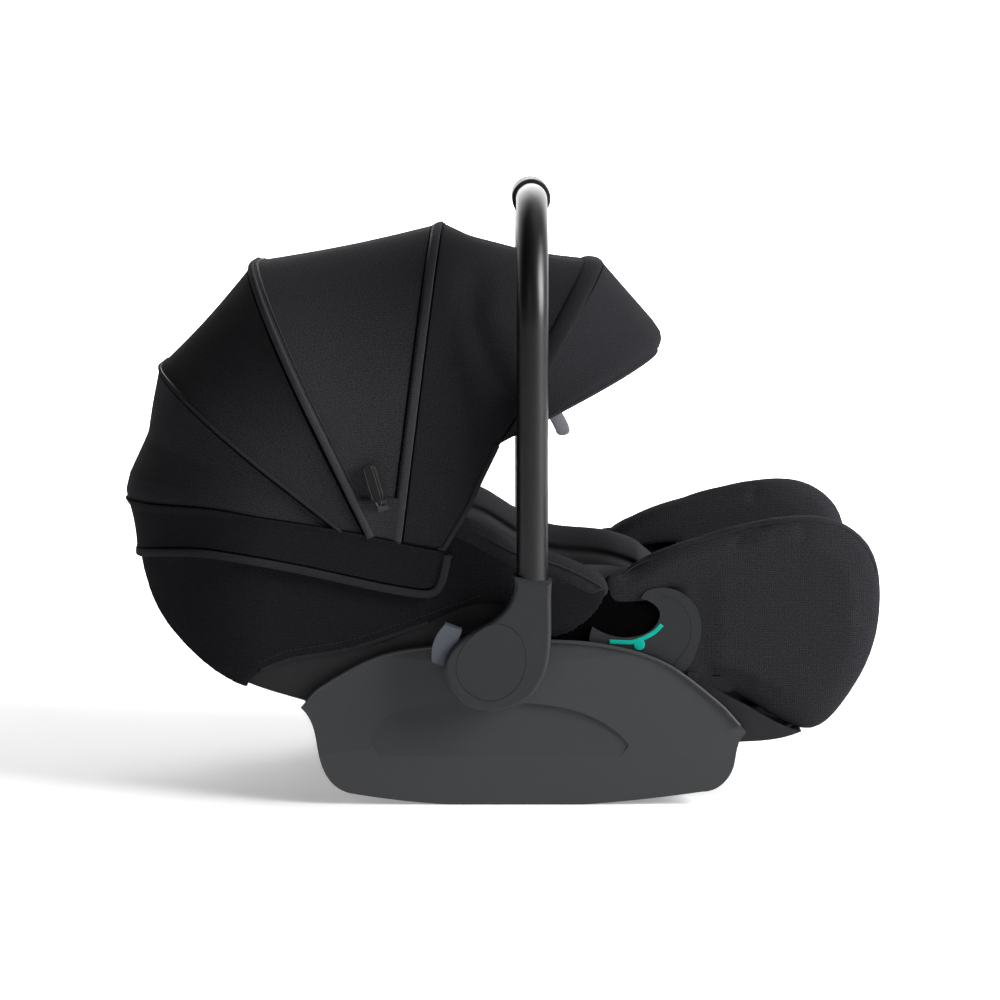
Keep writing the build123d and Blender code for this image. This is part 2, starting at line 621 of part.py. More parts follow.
def make_tub_parts():
    """The seat body: the tub, its cover and liner, the side wings, the belt guides and the small clips."""
    outside = tub_body(0)
    tub = outside - tub_body(-TUB_WALL)
    tub = tub & slab(below_line(TUB_RIM, 0), -SEAT_HALF - CUT_MARGIN, SEAT_HALF + CUT_MARGIN)
    for room in wing_room(SOFT_GAP):
        tub = tub - room
    tub = one(tub)
    for side in (-1, 1):
        low, high = sorted((side * SEAT_HALF, side * (SEAT_HALF + BOSS_T)))
        tub = tub + rod(PIVOT_X, PIVOT_Z, BOSS_R, low, high)
    (_, under_z), _ = tub_at(PIVOT_X)
    guide_x, guide_y = LATCH_W + 2 * HOUSING_GAP, 2 * (LATCH_HALF + HOUSING_GAP)
    place = Pos(PIVOT_X, 0, under_z)
    block = place * Box(guide_x + 2 * HOUSING_WALL, guide_y + 2 * HOUSING_WALL, 2 * HOUSING_H)
    latch_hole = place * Box(guide_x, guide_y, 2 * (HOUSING_H + LATCH_TRAVEL))
    tub = tub + (block - outside)
    tub = tub - rod(PIVOT_X, PIVOT_Z, SEAT_PIN_R + RUN_CLEAR, -HUB_OUT, HUB_OUT)
    tub = tub - rod(CANOPY_X, CANOPY_Z, CANOPY_PIN_R + RUN_CLEAR, -HUB_OUT, HUB_OUT)
    tub = one(tub - latch_hole)
    write("seat_shell", tub)

    skin = TUB_WALL + SOFT_GAP
    liner = tub_body(-skin) - tub_body(-skin - LINER_T)
    rim = [(x, z + LINER_RISE) for x, z in TUB_RIM]
    liner = liner & slab(below_line(rim, 0), -SEAT_HALF, SEAT_HALF)
    for room in wing_room(2 * SOFT_GAP):
        liner = liner - room
    write("seat_liner", one(liner))

    cover = tub_body(COVER_GAP + COVER_T) - tub_body(COVER_GAP)
    start, end = COVER_LOW[0], COVER_LOW[-1]
    far_x = TUB_REAR - HEM_OFFSET
    round_top = [end, (end[0], TUB_TOP), (far_x, TUB_TOP), (far_x, 0), (start[0], 0), start]
    region = make_face([edge_through(COVER_LOW), lines_through(round_top)])
    cover = cover & slab(region, -COVER_OUT - CUT_MARGIN, COVER_OUT + CUT_MARGIN)
    cover = cover & slab(below_line(TUB_RIM, 0), -COVER_OUT - CUT_MARGIN, COVER_OUT + CUT_MARGIN)
    cover = cover - rod(CANOPY_X, CANOPY_Z, CANOPY_PIN_R + SOFT_GAP, -HUB_OUT, HUB_OUT)
    write("head_cover", one(cover))

    inner = WING_OUT - WING_SPREAD[-1][0]
    wing = loft([wing_face(share, -inner - reach) for reach, share in WING_SPREAD])
    for name, solid in zip(("leg_wing_near", "leg_wing_far"), pair(one(wing))):
        write(name, solid)

    seat_out = SEAT_HALF + COVER_GAP
    outline = make_face([edge_through(GUIDE_OUTER), edge_through(GUIDE_INNER)])
    guide = slab(outline, -seat_out - COVER_T, -seat_out)
    for name, solid in zip(("belt_guide_near", "belt_guide_far"), pair(one(guide))):
        write(name, solid)
    sides = [shifted(MARK_PATH, MARK_W / 2), shifted(MARK_PATH, -MARK_W / 2)]
    ends = [lines_through([sides[0][i], sides[1][i]]) for i in (0, -1)]
    stripe = make_face([edge_through(sides[0]), ends[1], edge_through(sides[1]), ends[0]])
    mark = slab(stripe, -COVER_OUT - MARK_T, -COVER_OUT)
    mark = mark + rod(*MARK_PATH[2], MARK_DISC_R, -COVER_OUT - MARK_T, -COVER_OUT)
    write("belt_marks", *pair(one(mark)))

    clip = Pos(CLIP_AT[0], -SEAT_HALF - CLIP_T / 2, CLIP_AT[1]) * Box(CLIP_SIZE[0], CLIP_T, CLIP_SIZE[1])
    write("cover_clips", *pair(one(clip)))


def rail_ends():
    """Side-view ends of the headrest rail's underside, just above the liner: the head end first."""
    floor = TUB_WALL + SOFT_GAP + LINER_T + RAIL_GAP
    ends = []
    for x in RAIL_X:
        (px, pz), (nx, nz) = tub_at(x)
        ends.append((px + floor * nx, pz + floor * nz))
    return ends


def make_pads():
    """Crowned cushions in the tub, and the head pillow on its plate and rail."""
    floor = TUB_WALL + SOFT_GAP + LINER_T + PAD_GAP
    places = [tub_at(x) for x in INSERT_X]
    write("body_insert", crowned_pad(places, INSERT_HALF, floor, INSERT_EDGE, INSERT_CROWN))
    places = [tub_at(x) for x in LEG_PAD_X]
    write("leg_pad", crowned_pad(places, LEG_PAD_HALF, floor, LEG_PAD_EDGE, LEG_PAD_CROWN))
    (hx, hz), (fx, fz) = rail_ends()
    length = hypot(fx - hx, fz - hz)
    rail_up = ((hz - fz) / length, 0, (fx - hx) / length)
    rail_frame = Plane(origin=(hx, 0, hz), x_dir=(fx - hx, 0, fz - hz), z_dir=rail_up)
    rail = Pos(length / 2, 0, RAIL_H / 2) * Box(length, 2 * RAIL_HALF, RAIL_H)
    write("headrest_rail", rail_frame * rail)
    reach = PILLOW_AT[-1] - PILLOW_AT[0]
    middle = (PILLOW_AT[-1] + PILLOW_AT[0]) / 2
    plate = Pos(middle, 0, RAIL_H + RAIL_GAP + PLATE_T / 2) * Box(reach, 2 * PLATE_HALF, PLATE_T)
    for side in (-1, 1):
        lip_y = side * (RAIL_HALF + RAIL_GAP + LIP_T / 2)
        lip_z = RAIL_H + RAIL_GAP - LIP_H / 2
        plate = plate + Pos(middle, lip_y, lip_z) * Box(reach, LIP_T, LIP_H)
    write("headrest_plate", rail_frame * one(plate))
    lift = RAIL_H + RAIL_GAP + PLATE_T + SOFT_GAP
    away = (rail_frame.z_dir.X, rail_frame.z_dir.Z)
    along = rail_frame.x_dir
    places = [((hx + s * along.X, hz + s * along.Z), away) for s in PILLOW_AT]
    write("head_pillow", crowned_pad(places, PILLOW_HALF, lift, PILLOW_EDGE, PILLOW_CROWN))


def make_harness():
    """Straps, their pads, the buckle with its tongues and button, and the adjuster with its button."""
    top = TUB_WALL + SOFT_GAP + LINER_T + PAD_GAP + INSERT_CROWN + STRAP_LIFT
    low_y, high_y = -STRAP_Y - STRAP_W / 2, -STRAP_Y + STRAP_W / 2
    buckle_x = (BUCKLE_X[0] + BUCKLE_X[1]) / 2
    sunk = top - STRAP_SINK
    strap = tub_layer(sunk, sunk + STRAP_T, STRAP_X, buckle_x + STRAP_W / 2, low_y, high_y)
    write("shoulder_straps", *pair(strap))
    pad_low = sunk + STRAP_T + SOFT_GAP
    half = SHOULDER_PAD_W / 2
    pad = tub_layer(pad_low, pad_low + SHOULDER_PAD_T, *SHOULDER_PAD_X, -STRAP_Y - half, -STRAP_Y + half)
    write("shoulder_pads", *pair(pad))
    crotch = tub_layer(top, top + STRAP_T, BUCKLE_X[1], CROTCH_X, -CROTCH_W / 2, CROTCH_W / 2)
    write("crotch_strap", crotch)
    pad_low = top + STRAP_T + SOFT_GAP
    pad_x = BUCKLE_X[1] + SOFT_GAP
    pad = tub_layer(pad_low, pad_low + CROTCH_PAD_T, pad_x, CROTCH_X, -CROTCH_W / 2, CROTCH_W / 2)
    write("crotch_pad", pad)

    (_, under_z), _ = tub_at(BUCKLE_X[0])
    low_z = under_z + top + SOFT_GAP
    high_z = low_z + BUCKLE_T
    buckle = Box(BUCKLE_X[1] - BUCKLE_X[0], 2 * BUCKLE_HALF, BUCKLE_T)
    buckle = Pos(buckle_x, 0, (low_z + high_z) / 2) * fillet(buckle.edges().filter_by(Axis.Z), BUCKLE_ROUND)
    well = Pos(buckle_x, 0, high_z) * Box(
        BUCKLE_BUTTON[0] + 2 * BUTTON_GAP, BUCKLE_BUTTON[1] + 2 * BUTTON_GAP, 2 * BUCKLE_BUTTON_DEPTH)
    tongue_z = low_z + STRAP_T + SOFT_GAP + TONGUE_T / 2
    mouth_x, mouth_z = TONGUE_W + 2 * BUTTON_GAP, TONGUE_T + BUTTON_GAP
    mouth = Box(mouth_x, 2 * BUCKLE_HALF, mouth_z) - Box(mouth_x, 2 * (BUCKLE_HALF - TONGUE_IN), mouth_z)
    write("buckle", one(buckle - well - Pos(buckle_x, 0, tongue_z) * mouth))
    cap_low = high_z - BUCKLE_BUTTON_DEPTH + BUCKLE_BUTTON_TRAVEL + BUTTON_GAP
    cap_high = high_z + BUCKLE_BUTTON_PROUD
    button = Pos(buckle_x, 0, (cap_low + cap_high) / 2) * Box(*BUCKLE_BUTTON, cap_high - cap_low)
    write("buckle_button", button)
    tongue_mid = -BUCKLE_HALF + TONGUE_IN - BUTTON_GAP - TONGUE_LENGTH / 2
    tongue = Pos(buckle_x, tongue_mid, tongue_z) * Box(TONGUE_W, TONGUE_LENGTH, TONGUE_T)
    write("buckle_tongues", *pair(tongue))
    wall_y = SEAT_HALF - TUB_WALL - SOFT_GAP - LINER_T - SOFT_GAP
    start_y = TONGUE_LENGTH / 2 - tongue_mid
    hip = Pos(buckle_x, -(wall_y + start_y) / 2, tongue_z) * Box(STRAP_W, wall_y - start_y, STRAP_T)
    write("hip_straps", *pair(hip))

    (px, pz), (nx, nz) = tub_at(ADJUSTER_X)
    lift = TUB_WALL + SOFT_GAP + LINER_T + PAD_GAP + LEG_PAD_CROWN + SOFT_GAP
    place = Plane(origin=(px + lift * nx, 0, pz + lift * nz), x_dir=(nz, 0, -nx), z_dir=(nx, 0, nz))
    tall = ADJUSTER_SIZE[2]
    housing = Pos(0, 0, tall / 2) * Box(*ADJUSTER_SIZE)
    well_x, well_y = ADJUSTER_BUTTON[0] + 2 * BUTTON_GAP, ADJUSTER_BUTTON[1] + 2 * BUTTON_GAP
    well = Pos(0, 0, tall) * Box(well_x, well_y, 2 * (tall - ADJUSTER_FLOOR))
    write("harness_adjuster", place * one(housing - well))
    low = ADJUSTER_FLOOR + ADJUSTER_TRAVEL + BUTTON_GAP
    high = tall + ADJUSTER_PROUD
    write("adjuster_button", place * Pos(0, 0, (low + high) / 2) * Box(*ADJUSTER_BUTTON, high - low))


def make_canopy():
    """The hem on the seat, the pivot pins, four bows with their cloth, the visor, its tab and the zip."""
    seam_dir = (cos(radians(SEAM_ANGLE)), sin(radians(SEAM_ANGLE)))
    rise = seam_dir[1] / seam_dir[0]
    rear_x = TUB_REAR - 2 * HEM_OFFSET

    def seam_z(x):
        return CANOPY_Z + SEAM_LIFT + rise * (x - CANOPY_X) - HEM_SEAM_GAP

    ends = [(rear_x, seam_z(rear_x)), (HEM_FRONT, seam_z(HEM_FRONT))]
    low = [ends[1], *HEM_LOW, (rear_x, HEM_REAR_LOW)]
    region = make_face([lines_through(ends), edge_through(low), lines_through([low[-1], ends[0]])])
    hem = tub_body(HEM_OFFSET) - tub_body(HEM_OFFSET - HEM_T)
    write("canopy_hem", one(hem & slab(region, -CANOPY_HALF, CANOPY_HALF)))
    pin_end = CANOPY_HALF - HEM_T - CANOPY_PIN_END
    pin = rod(CANOPY_X, CANOPY_Z, CANOPY_PIN_R, -pin_end, -SEAT_HALF + TUB_WALL)
    write("canopy_pins", *pair(pin))

    seam = cloth_hoop(SEAM_ANGLE, SEAM_RADIUS, SEAM_FOOT, SEAM_LIFT)
    previous = seam
    for index, (name, panel) in enumerate(zip(BOWS, PANELS)):
        section = cloth_hoop(BOW_ANGLES[index], BOW_RADII[index], CLOTH_FEET[index])
        write(panel, cloth_panel(previous, section))
        previous = section
        write(name, make_bow(index))
    visor = cloth_panel(previous, cloth_hoop(VISOR_ANGLE, VISOR_RADIUS, CLOTH_FEET[-1]))
    visor = visor - rod(CANOPY_X, CANOPY_Z, VISOR_FOOT, -HUB_OUT, HUB_OUT)
    write("visor", one(visor))
    tab_y = -CANOPY_HALF + CLOTH_T + TAB_IN
    tab = slab(make_face(Spline(*[(x, 0, z) for x, z in TAB_SHAPE], periodic=True)), tab_y, tab_y + TAB_T)
    write("canopy_tab", one(tab - rod(*TAB_HOLE, TAB_HOLE_R, -HUB_OUT, 0)))
    make_zip()


def make_bow(index):
    """One wire bow: an arch under the cloth, and on each side a flat arm with an eye on the pivot pin."""
    angle = BOW_ANGLES[index]
    inset = CLOTH_T + BOW_GAP + BOW_R
    arch = BOW_RADII[index] - inset
    path = Wire(hoop(angle, arch, BOW_FOOT, CANOPY_HALF - inset, CANOPY_CORNER - inset))
    bow = sweep(Plane(origin=path @ 0, z_dir=path % 0) * Circle(BOW_R), path=path)
    ux, uz = cos(radians(angle)), sin(radians(angle))
    sides = []
    for side in (-1, 1):
        for along in ((0, BOW_FOOT + ARM_W) if side < 0 else (BOW_FOOT + ARM_W, 0)):
            across = side * ARM_W / 2
            sides.append((CANOPY_X + along * ux + across * uz, CANOPY_Z + along * uz - across * ux))
    arm_in = COVER_OUT + BOW_CLEAR + index * ARM_STEP
    arm = slab(make_face(lines_through([*sides, sides[0]])), -arm_in - ARM_T, -arm_in)
    arm = arm + rod(CANOPY_X, CANOPY_Z, ARM_EYE_R, -arm_in - ARM_T, -arm_in)
    arm = arm - rod(CANOPY_X, CANOPY_Z, CANOPY_PIN_R + RUN_CLEAR, -HUB_OUT, 0)
    for solid in pair(arm):
        bow = bow + solid
    return one(bow)


def make_zip():
    """The slider on the near side of the rear zip, with a pin that carries the pull."""
    turn = radians(ZIP_TURN)
    hinge = (ZIP_AT[0], -CANOPY_HALF - ZIP_STAND, ZIP_AT[1])
    place = Plane(origin=hinge, x_dir=(cos(turn), 0, sin(turn)), z_dir=(0, -1, 0))
    plate_z = -ZIP_STAND + ZIP_GAP + ZIP_PLATE_T / 2
    slider = Pos(0, 0, plate_z) * Box(ZIP_WIDE, ZIP_LONG, ZIP_PLATE_T)
    lug_x = ZIP_NECK / 2 + ZIP_GAP + ZIP_LUG_T / 2
    for side in (-1, 1):
        lug = Box(ZIP_LUG_T, 2 * ZIP_EYE_R, ZIP_STAND - ZIP_GAP - ZIP_PLATE_T / 2 + ZIP_EYE_R)
        slider = slider + Pos(side * lug_x, 0, (plate_z + ZIP_EYE_R) / 2) * lug
    slider = slider + Cylinder(ZIP_PIN_R, 2 * lug_x, rotation=(0, 90, 0))
    write("zip_slider", place * one(slider))
    pull = Cylinder(ZIP_EYE_R, ZIP_NECK, rotation=(0, 90, 0))
    pull = pull + Pos(0, ZIP_NECK_LONG / 2, 0) * Box(ZIP_NECK, ZIP_NECK_LONG, 2 * ZIP_EYE_R)
    pull = pull + Pos(0, ZIP_NECK_LONG + ZIP_TAB_LONG / 2, 0) * Box(ZIP_TAB_W, ZIP_TAB_LONG, 2 * ZIP_EYE_R)
    pull = pull - Cylinder(ZIP_PIN_R + RUN_CLEAR, ZIP_NECK, rotation=(0, 90, 0))
    write("zip_pull", place * one(pull))


def make_recline_parts():
    """The latch over the rack, the cable under the tub and the handle that pulls it at the feet."""
    (_, under_z), _ = tub_at(PIVOT_X)
    low_z = PIVOT_Z - RACK_TOP_R + LATCH_CLEAR
    high_z = under_z - LATCH_TOP_GAP
    latch = Pos(PIVOT_X, 0, (low_z + high_z) / 2) * Box(LATCH_W, 2 * LATCH_HALF, high_z - low_z)
    write("recline_latch", latch)
    cable_y = LATCH_HALF + HOUSING_GAP + HOUSING_WALL + CABLE_SIDE_GAP + CABLE_R
    points = []
    for x in CABLE_X:
        (px, pz), (nx, nz) = tub_at(x)
        points.append((px - CABLE_DROP * nx, cable_y, pz - CABLE_DROP * nz))
    path = FilletPolyline(*points, radius=CABLE_BEND)
    write("recline_cable", sweep(Plane(origin=path @ 0, z_dir=path % 0) * Circle(CABLE_R), path=path))
    grip = tub_layer(-RECLINE_HANDLE_GAP - RECLINE_HANDLE_T, -RECLINE_HANDLE_GAP, *RECLINE_HANDLE_X,
                     -RECLINE_HANDLE_HALF, RECLINE_HANDLE_HALF)
    write("recline_handle", grip)


def main():
    os.makedirs("parts", exist_ok=True)
    make_base_parts()
    make_handle_parts()
    make_tub_parts()
    make_pads()
    make_harness()
    make_canopy()
    make_recline_parts()


main()
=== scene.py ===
# %% [markdown]
# # An infant car seat, dressed
#
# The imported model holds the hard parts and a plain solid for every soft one. This script
# adds what cloth, stuffing, zips and thread look like, and leaves every hard part where it is.
# Lengths are millimetres in the object's own frame: x runs from head to feet, y across,
# z up from the ground. MM turns them into metres where a mesh is made.

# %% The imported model
import json
import math

import bpy
import numpy as np
from mathutils.bvhtree import BVHTree
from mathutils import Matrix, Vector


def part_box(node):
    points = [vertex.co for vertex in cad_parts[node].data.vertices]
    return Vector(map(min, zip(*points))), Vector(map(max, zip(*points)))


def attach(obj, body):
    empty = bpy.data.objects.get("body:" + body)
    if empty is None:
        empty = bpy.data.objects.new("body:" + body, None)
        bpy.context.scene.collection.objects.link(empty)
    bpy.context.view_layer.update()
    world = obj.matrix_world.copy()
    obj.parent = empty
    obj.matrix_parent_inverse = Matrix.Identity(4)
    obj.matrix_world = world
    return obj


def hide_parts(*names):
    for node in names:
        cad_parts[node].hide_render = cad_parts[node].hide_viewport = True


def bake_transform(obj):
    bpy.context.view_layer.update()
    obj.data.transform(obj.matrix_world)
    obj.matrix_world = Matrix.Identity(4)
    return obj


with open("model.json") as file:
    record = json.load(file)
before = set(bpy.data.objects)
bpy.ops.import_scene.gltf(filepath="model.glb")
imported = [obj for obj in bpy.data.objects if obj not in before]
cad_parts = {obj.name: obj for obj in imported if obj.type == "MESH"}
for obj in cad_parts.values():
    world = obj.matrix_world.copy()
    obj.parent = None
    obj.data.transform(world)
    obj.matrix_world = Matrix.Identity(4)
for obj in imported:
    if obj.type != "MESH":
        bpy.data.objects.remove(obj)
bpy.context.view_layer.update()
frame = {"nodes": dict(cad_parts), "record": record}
nodes = frame["nodes"]
scene = bpy.context.scene
MM = 0.001
SIDES = ((-1, "near"), (1, "far"))

# %% [markdown]
# ## Lines and grids
#
# Every sewn piece is a formula over a grid, worked out as one array. A few small functions turn
# such arrays into meshes: a grid of points, a profile swept along a line, and one small shape
# set down many times. Each returns a Blender object with its UV map in metres.


# %% Lines
def unit(vectors):
    """The vectors at length one: v / |v|."""
    return vectors / np.maximum(np.linalg.norm(vectors, axis=-1, keepdims=True), 1e-9)


def smooth_line(knots, count):
    """A Catmull-Rom curve through the knots, as count points."""
    knots = np.asarray(knots, float)
    padded = np.vstack([2 * knots[0] - knots[1], knots, 2 * knots[-1] - knots[-2]])
    t = np.linspace(0, len(knots) - 1, count)
    k = np.minimum(t.astype(int), len(knots) - 2)
    f = (t - k)[:, None]
    a, b, c, d = (padded[k + n] for n in range(4))
    return 0.5 * (2 * b + (c - a) * f + (2 * a - 5 * b + 4 * c - d) * f**2 + (3 * b - a - 3 * c + d) * f**3)


def side_line(knots, count, y):
    """A smooth line through (x, z) knots, in the upright plane at y."""
    line = smooth_line(knots, count)
    return np.stack([line[:, 0], np.full(count, y), line[:, 1]], -1)


def evenly(path, step):
    """The same line with its points about step apart."""
    run = np.r_[0, np.cumsum(np.linalg.norm(np.diff(path, axis=0), axis=1))]
    at = np.linspace(0, run[-1], max(3, int(round(run[-1] / step)) + 1))
    return np.stack([np.interp(at, run, path[:, k]) for k in range(path.shape[1])], -1)


def running_mean(values, reach, ends):
    """Each value's mean with reach neighbours on both sides; ends is NumPy's way to pad past the ends."""
    width = 2 * reach + 1
    return np.convolve(np.pad(values, reach, ends), np.ones(width) / width, "valid")


# %% Grids of points as meshes
def mesh_object(name, points, faces, material, uv=None):
    """A smooth-shaded object from points in millimetres."""
    mesh = bpy.data.meshes.new(name)
    mesh.from_pydata((points * MM).tolist(), [], faces.tolist())
    if uv is not None:
        layer = mesh.uv_layers.new(name="UVMap")
        layer.data.foreach_set("uv", (uv[faces.ravel()] * MM).ravel())
    mesh.shade_smooth()
    mesh.materials.append(material)
    made = bpy.data.objects.new(name, mesh)
    scene.collection.objects.link(made)
    return made


def grid_quads(rows, columns, wrap=False):
    """The quads of a grid; wrap joins the last column to the first."""
    i = np.arange(rows - 1)[:, None]
    j = np.arange(columns if wrap else columns - 1)[None, :]
    after = (j + 1) % columns
    corners = [i * columns + j, i * columns + after, (i + 1) * columns + after, (i + 1) * columns + j]
    return np.stack(np.broadcast_arrays(*corners), -1).reshape(-1, 4)


def grid_object(name, points, material, wrap=False, turn=False):
    """A grid of points[i, j] as a mesh. Its UVs are the lengths run along i and along j."""
    rows, columns = points.shape[:2]
    steps = [np.linalg.norm(np.diff(points, axis=k, prepend=points.take([0], k)), axis=-1) for k in (0, 1)]
    uv = np.stack([np.cumsum(steps[1], 1), np.cumsum(steps[0], 0)], -1).reshape(-1, 2)
    quads = grid_quads(rows, columns, wrap)
    return mesh_object(name, points.reshape(-1, 3), quads[:, ::-1] if turn else quads, material, uv)


# %% Profiles, and sweeps along a line
def circle(radius, count=10):
    """A round profile."""
    a = np.linspace(0, 2 * math.pi, count, endpoint=False)
    return radius * np.stack([np.cos(a), np.sin(a)], -1)


def band(width, height, count=16):
    """A flat profile with round edges: x = w/2 |cos|^0.5, y = h/2 |sin|^0.8, each with its sign."""
    a = np.linspace(0, 2 * math.pi, count, endpoint=False)
    x = np.sign(np.cos(a)) * np.abs(np.cos(a)) ** 0.5
    y = np.sign(np.sin(a)) * np.abs(np.sin(a)) ** 0.8
    return np.stack([x * width / 2, y * height / 2], -1)


def frames(path, up):
    """Tangent, side and up directions along a path, for an up that is given roughly."""
    along = unit(np.gradient(path, axis=0))
    side = unit(np.cross(along, np.broadcast_to(up, path.shape)))
    return along, side, np.cross(side, along)


def round_ends(count, taper):
    """Sizes along a line that grow from its ends as sqrt(1 - (1 - t / taper)^2), which makes them round."""
    t = np.linspace(0, 1, count)
    near_end = np.clip(np.minimum(t, 1 - t) / max(taper, 1e-6), 0, 1)
    return np.sqrt(np.maximum(1 - (1 - near_end) ** 2, 0.01)) if taper else np.ones(count)


def sweep(name, path, up, profile, material, taper=0.0):
    """A closed profile (side, up) swept along an open path: p + side x + up y, closed at both ends."""
    along, side, over = frames(path, up)
    rows = np.r_[0, np.arange(len(path)), len(path) - 1]
    scale = np.r_[0.02, round_ends(len(path), taper), 0.02][:, None, None]
    offset = side[rows, None] * profile[None, :, :1] + over[rows, None] * profile[None, :, 1:]
    return grid_object(name, path[rows, None] + scale * offset, material, wrap=True, turn=True)


# %% Small blocks in a row
def scatter(name, places, along, side, over, size, material):
    """One small rounded block of size (length, width, height) at every place."""
    block = np.array([[x, y, z] for x in (-1, 1) for y in (-1, 1) for z in (-1, 1)], float)
    block = np.where(block[:, 2:] > 0, block * [0.8, 0.7, 1], block) * np.asarray(size) / 2
    faces = np.array([[0, 1, 3, 2], [4, 6, 7, 5], [0, 4, 5, 1], [2, 3, 7, 6], [1, 5, 7, 3], [0, 2, 6, 4]])
    axes = np.stack([along, side, over], 1)
    points = places[:, None] + np.einsum("bk,nkc->nbc", block, axes)
    every = faces[None] + 8 * np.arange(len(places))[:, None, None]
    return mesh_object(name, points.reshape(-1, 3), every.reshape(-1, 4), material)


def stitches(name, path, up, material, pitch=4.2, length=3.0, width=0.75):
    """A row of thread stitches along a path, each one a small block lying on the cloth."""
    even = evenly(path, pitch)
    lift = np.broadcast_to(up, path.shape)
    run = np.linspace(0, 1, len(path))
    ups = np.stack([np.interp(np.linspace(0, 1, len(even)), run, lift[:, k]) for k in range(3)], -1)
    along, side, over = frames(even, ups)
    return scatter(name, even, along, side, over, (length, width, 0.7), material)


# %% What a piece stands for
def dress(piece, body, node_name=None):
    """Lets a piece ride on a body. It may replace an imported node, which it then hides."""
    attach(piece, body)
    if node_name:
        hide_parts(node_name)
    return piece


def packed_box(node_name):
    """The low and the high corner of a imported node, in millimetres."""
    return [np.array(corner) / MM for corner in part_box(node_name)]


# %% [markdown]
# ## Materials
#
# A material is named for what the real piece is made of, and a few also for the painted shade that
# they carry. Colours are written as the sRGB values that a photo shows and turned into linear light.
# Pattern sizes are in millimetres.


# %% Nodes of a material
def linear(hex_colour):
    """An sRGB hex colour as linear red, green, blue and alpha."""
    c = np.array([int(hex_colour[k : k + 2], 16) for k in (0, 2, 4)]) / 255
    return (*np.where(c <= 0.04045, c / 12.92, ((c + 0.055) / 1.055) ** 2.4), 1.0)


def add_node(material, kind, sockets, **settings):
    """Adds one node, sets it, and links or fills its sockets. Returns the node."""
    tree = material.node_tree
    made = tree.nodes.new(kind)
    for key, value in settings.items():
        setattr(made, key, value)
    for key, value in sockets.items():
        if isinstance(value, bpy.types.NodeSocket):
            tree.links.new(value, made.inputs[key])
        else:
            made.inputs[key].default_value = value
    return made


def base_material(name, roughness, **inputs):
    """A material with its Principled shader set, and the shader."""
    material = bpy.data.materials.new(name)
    material.use_nodes = True
    shader = material.node_tree.nodes["Principled BSDF"]
    shader.inputs["Roughness"].default_value = roughness
    for key, value in inputs.items():
        shader.inputs[key.replace("_", " ")].default_value = value
    return material, shader


def noise(material, place, size, detail):
    """Noise with blobs of about size millimetres, as a socket."""
    sockets = {"Vector": place, "Scale": 1 / (size * MM), "Detail": detail}
    return add_node(material, "ShaderNodeTexNoise", sockets).outputs["Fac"]


def relief(material, shader, height, strength, depth):
    """Bumps a shader's normal by a height socket that stands for depth millimetres."""
    sockets = {"Height": height, "Strength": strength, "Distance": depth * MM}
    bump = add_node(material, "ShaderNodeBump", sockets)
    material.node_tree.links.new(bump.outputs["Normal"], shader.inputs["Normal"])


# %% Plastic and cloth
DRIFT_SIZE = 70.0
WAVE_LENGTH = 0.314
WEAVE_SHARE = 0.3


def plastic(name, colour, roughness, grain=0.9, depth=0.05, specular=0.2, **inputs):
    """Moulded plastic: a fine spark-eroded grain, and a slow drift in gloss."""
    material, shader = base_material(name, roughness, **inputs)
    shader.inputs["Specular IOR Level"].default_value = specular
    shader.inputs["Base Color"].default_value = linear(colour)
    place = add_node(material, "ShaderNodeTexCoord", {}).outputs["Object"]
    relief(material, shader, noise(material, place, grain, 2.0), 0.6, depth)
    drift = {"Value": noise(material, place, DRIFT_SIZE, 3.0), "From Min": 0.3, "From Max": 0.7,
             "To Min": roughness - 0.04, "To Max": roughness + 0.05}
    gloss = add_node(material, "ShaderNodeMapRange", drift)
    material.node_tree.links.new(gloss.outputs["Result"], shader.inputs["Roughness"])
    return material


def woven(name, dark, light, thread, depth=0.25, sheen=0.005):
    """Plain-woven cloth: height = WEAVE_SHARE sin(u) sin(v) + yarn noise. It also mixes the two tones.

    A wave texture of scale 1 repeats every WAVE_LENGTH, and a weave repeats every two threads.
    """
    material, shader = base_material(name, 0.95, Sheen_Weight=sheen, Sheen_Roughness=0.6)
    shader.inputs["Specular IOR Level"].default_value = 0.02
    where = add_node(material, "ShaderNodeTexCoord", {}).outputs["UV"]
    wave = {"Vector": where, "Scale": WAVE_LENGTH / (2 * thread * MM), "Distortion": 0.4}
    warp = add_node(material, "ShaderNodeTexWave", wave, bands_direction="X").outputs["Fac"]
    weft = add_node(material, "ShaderNodeTexWave", wave, bands_direction="Y").outputs["Fac"]
    weave = add_node(material, "ShaderNodeMath", {0: warp, 1: weft}, operation="MULTIPLY").outputs["Value"]
    mix = {0: weave, 1: WEAVE_SHARE, 2: noise(material, where, 1.4 * thread, 3.0)}
    height = add_node(material, "ShaderNodeMath", mix, operation="MULTIPLY_ADD").outputs["Value"]
    ramp = add_node(material, "ShaderNodeValToRGB", {"Fac": height})
    for stop, place, colour in zip(ramp.color_ramp.elements, (0.35, 0.85), (dark, light)):
        stop.position = place
        stop.color = linear(colour)
    material.node_tree.links.new(ramp.outputs["Color"], shader.inputs["Base Color"])
    relief(material, shader, height, 0.5, depth)
    return material


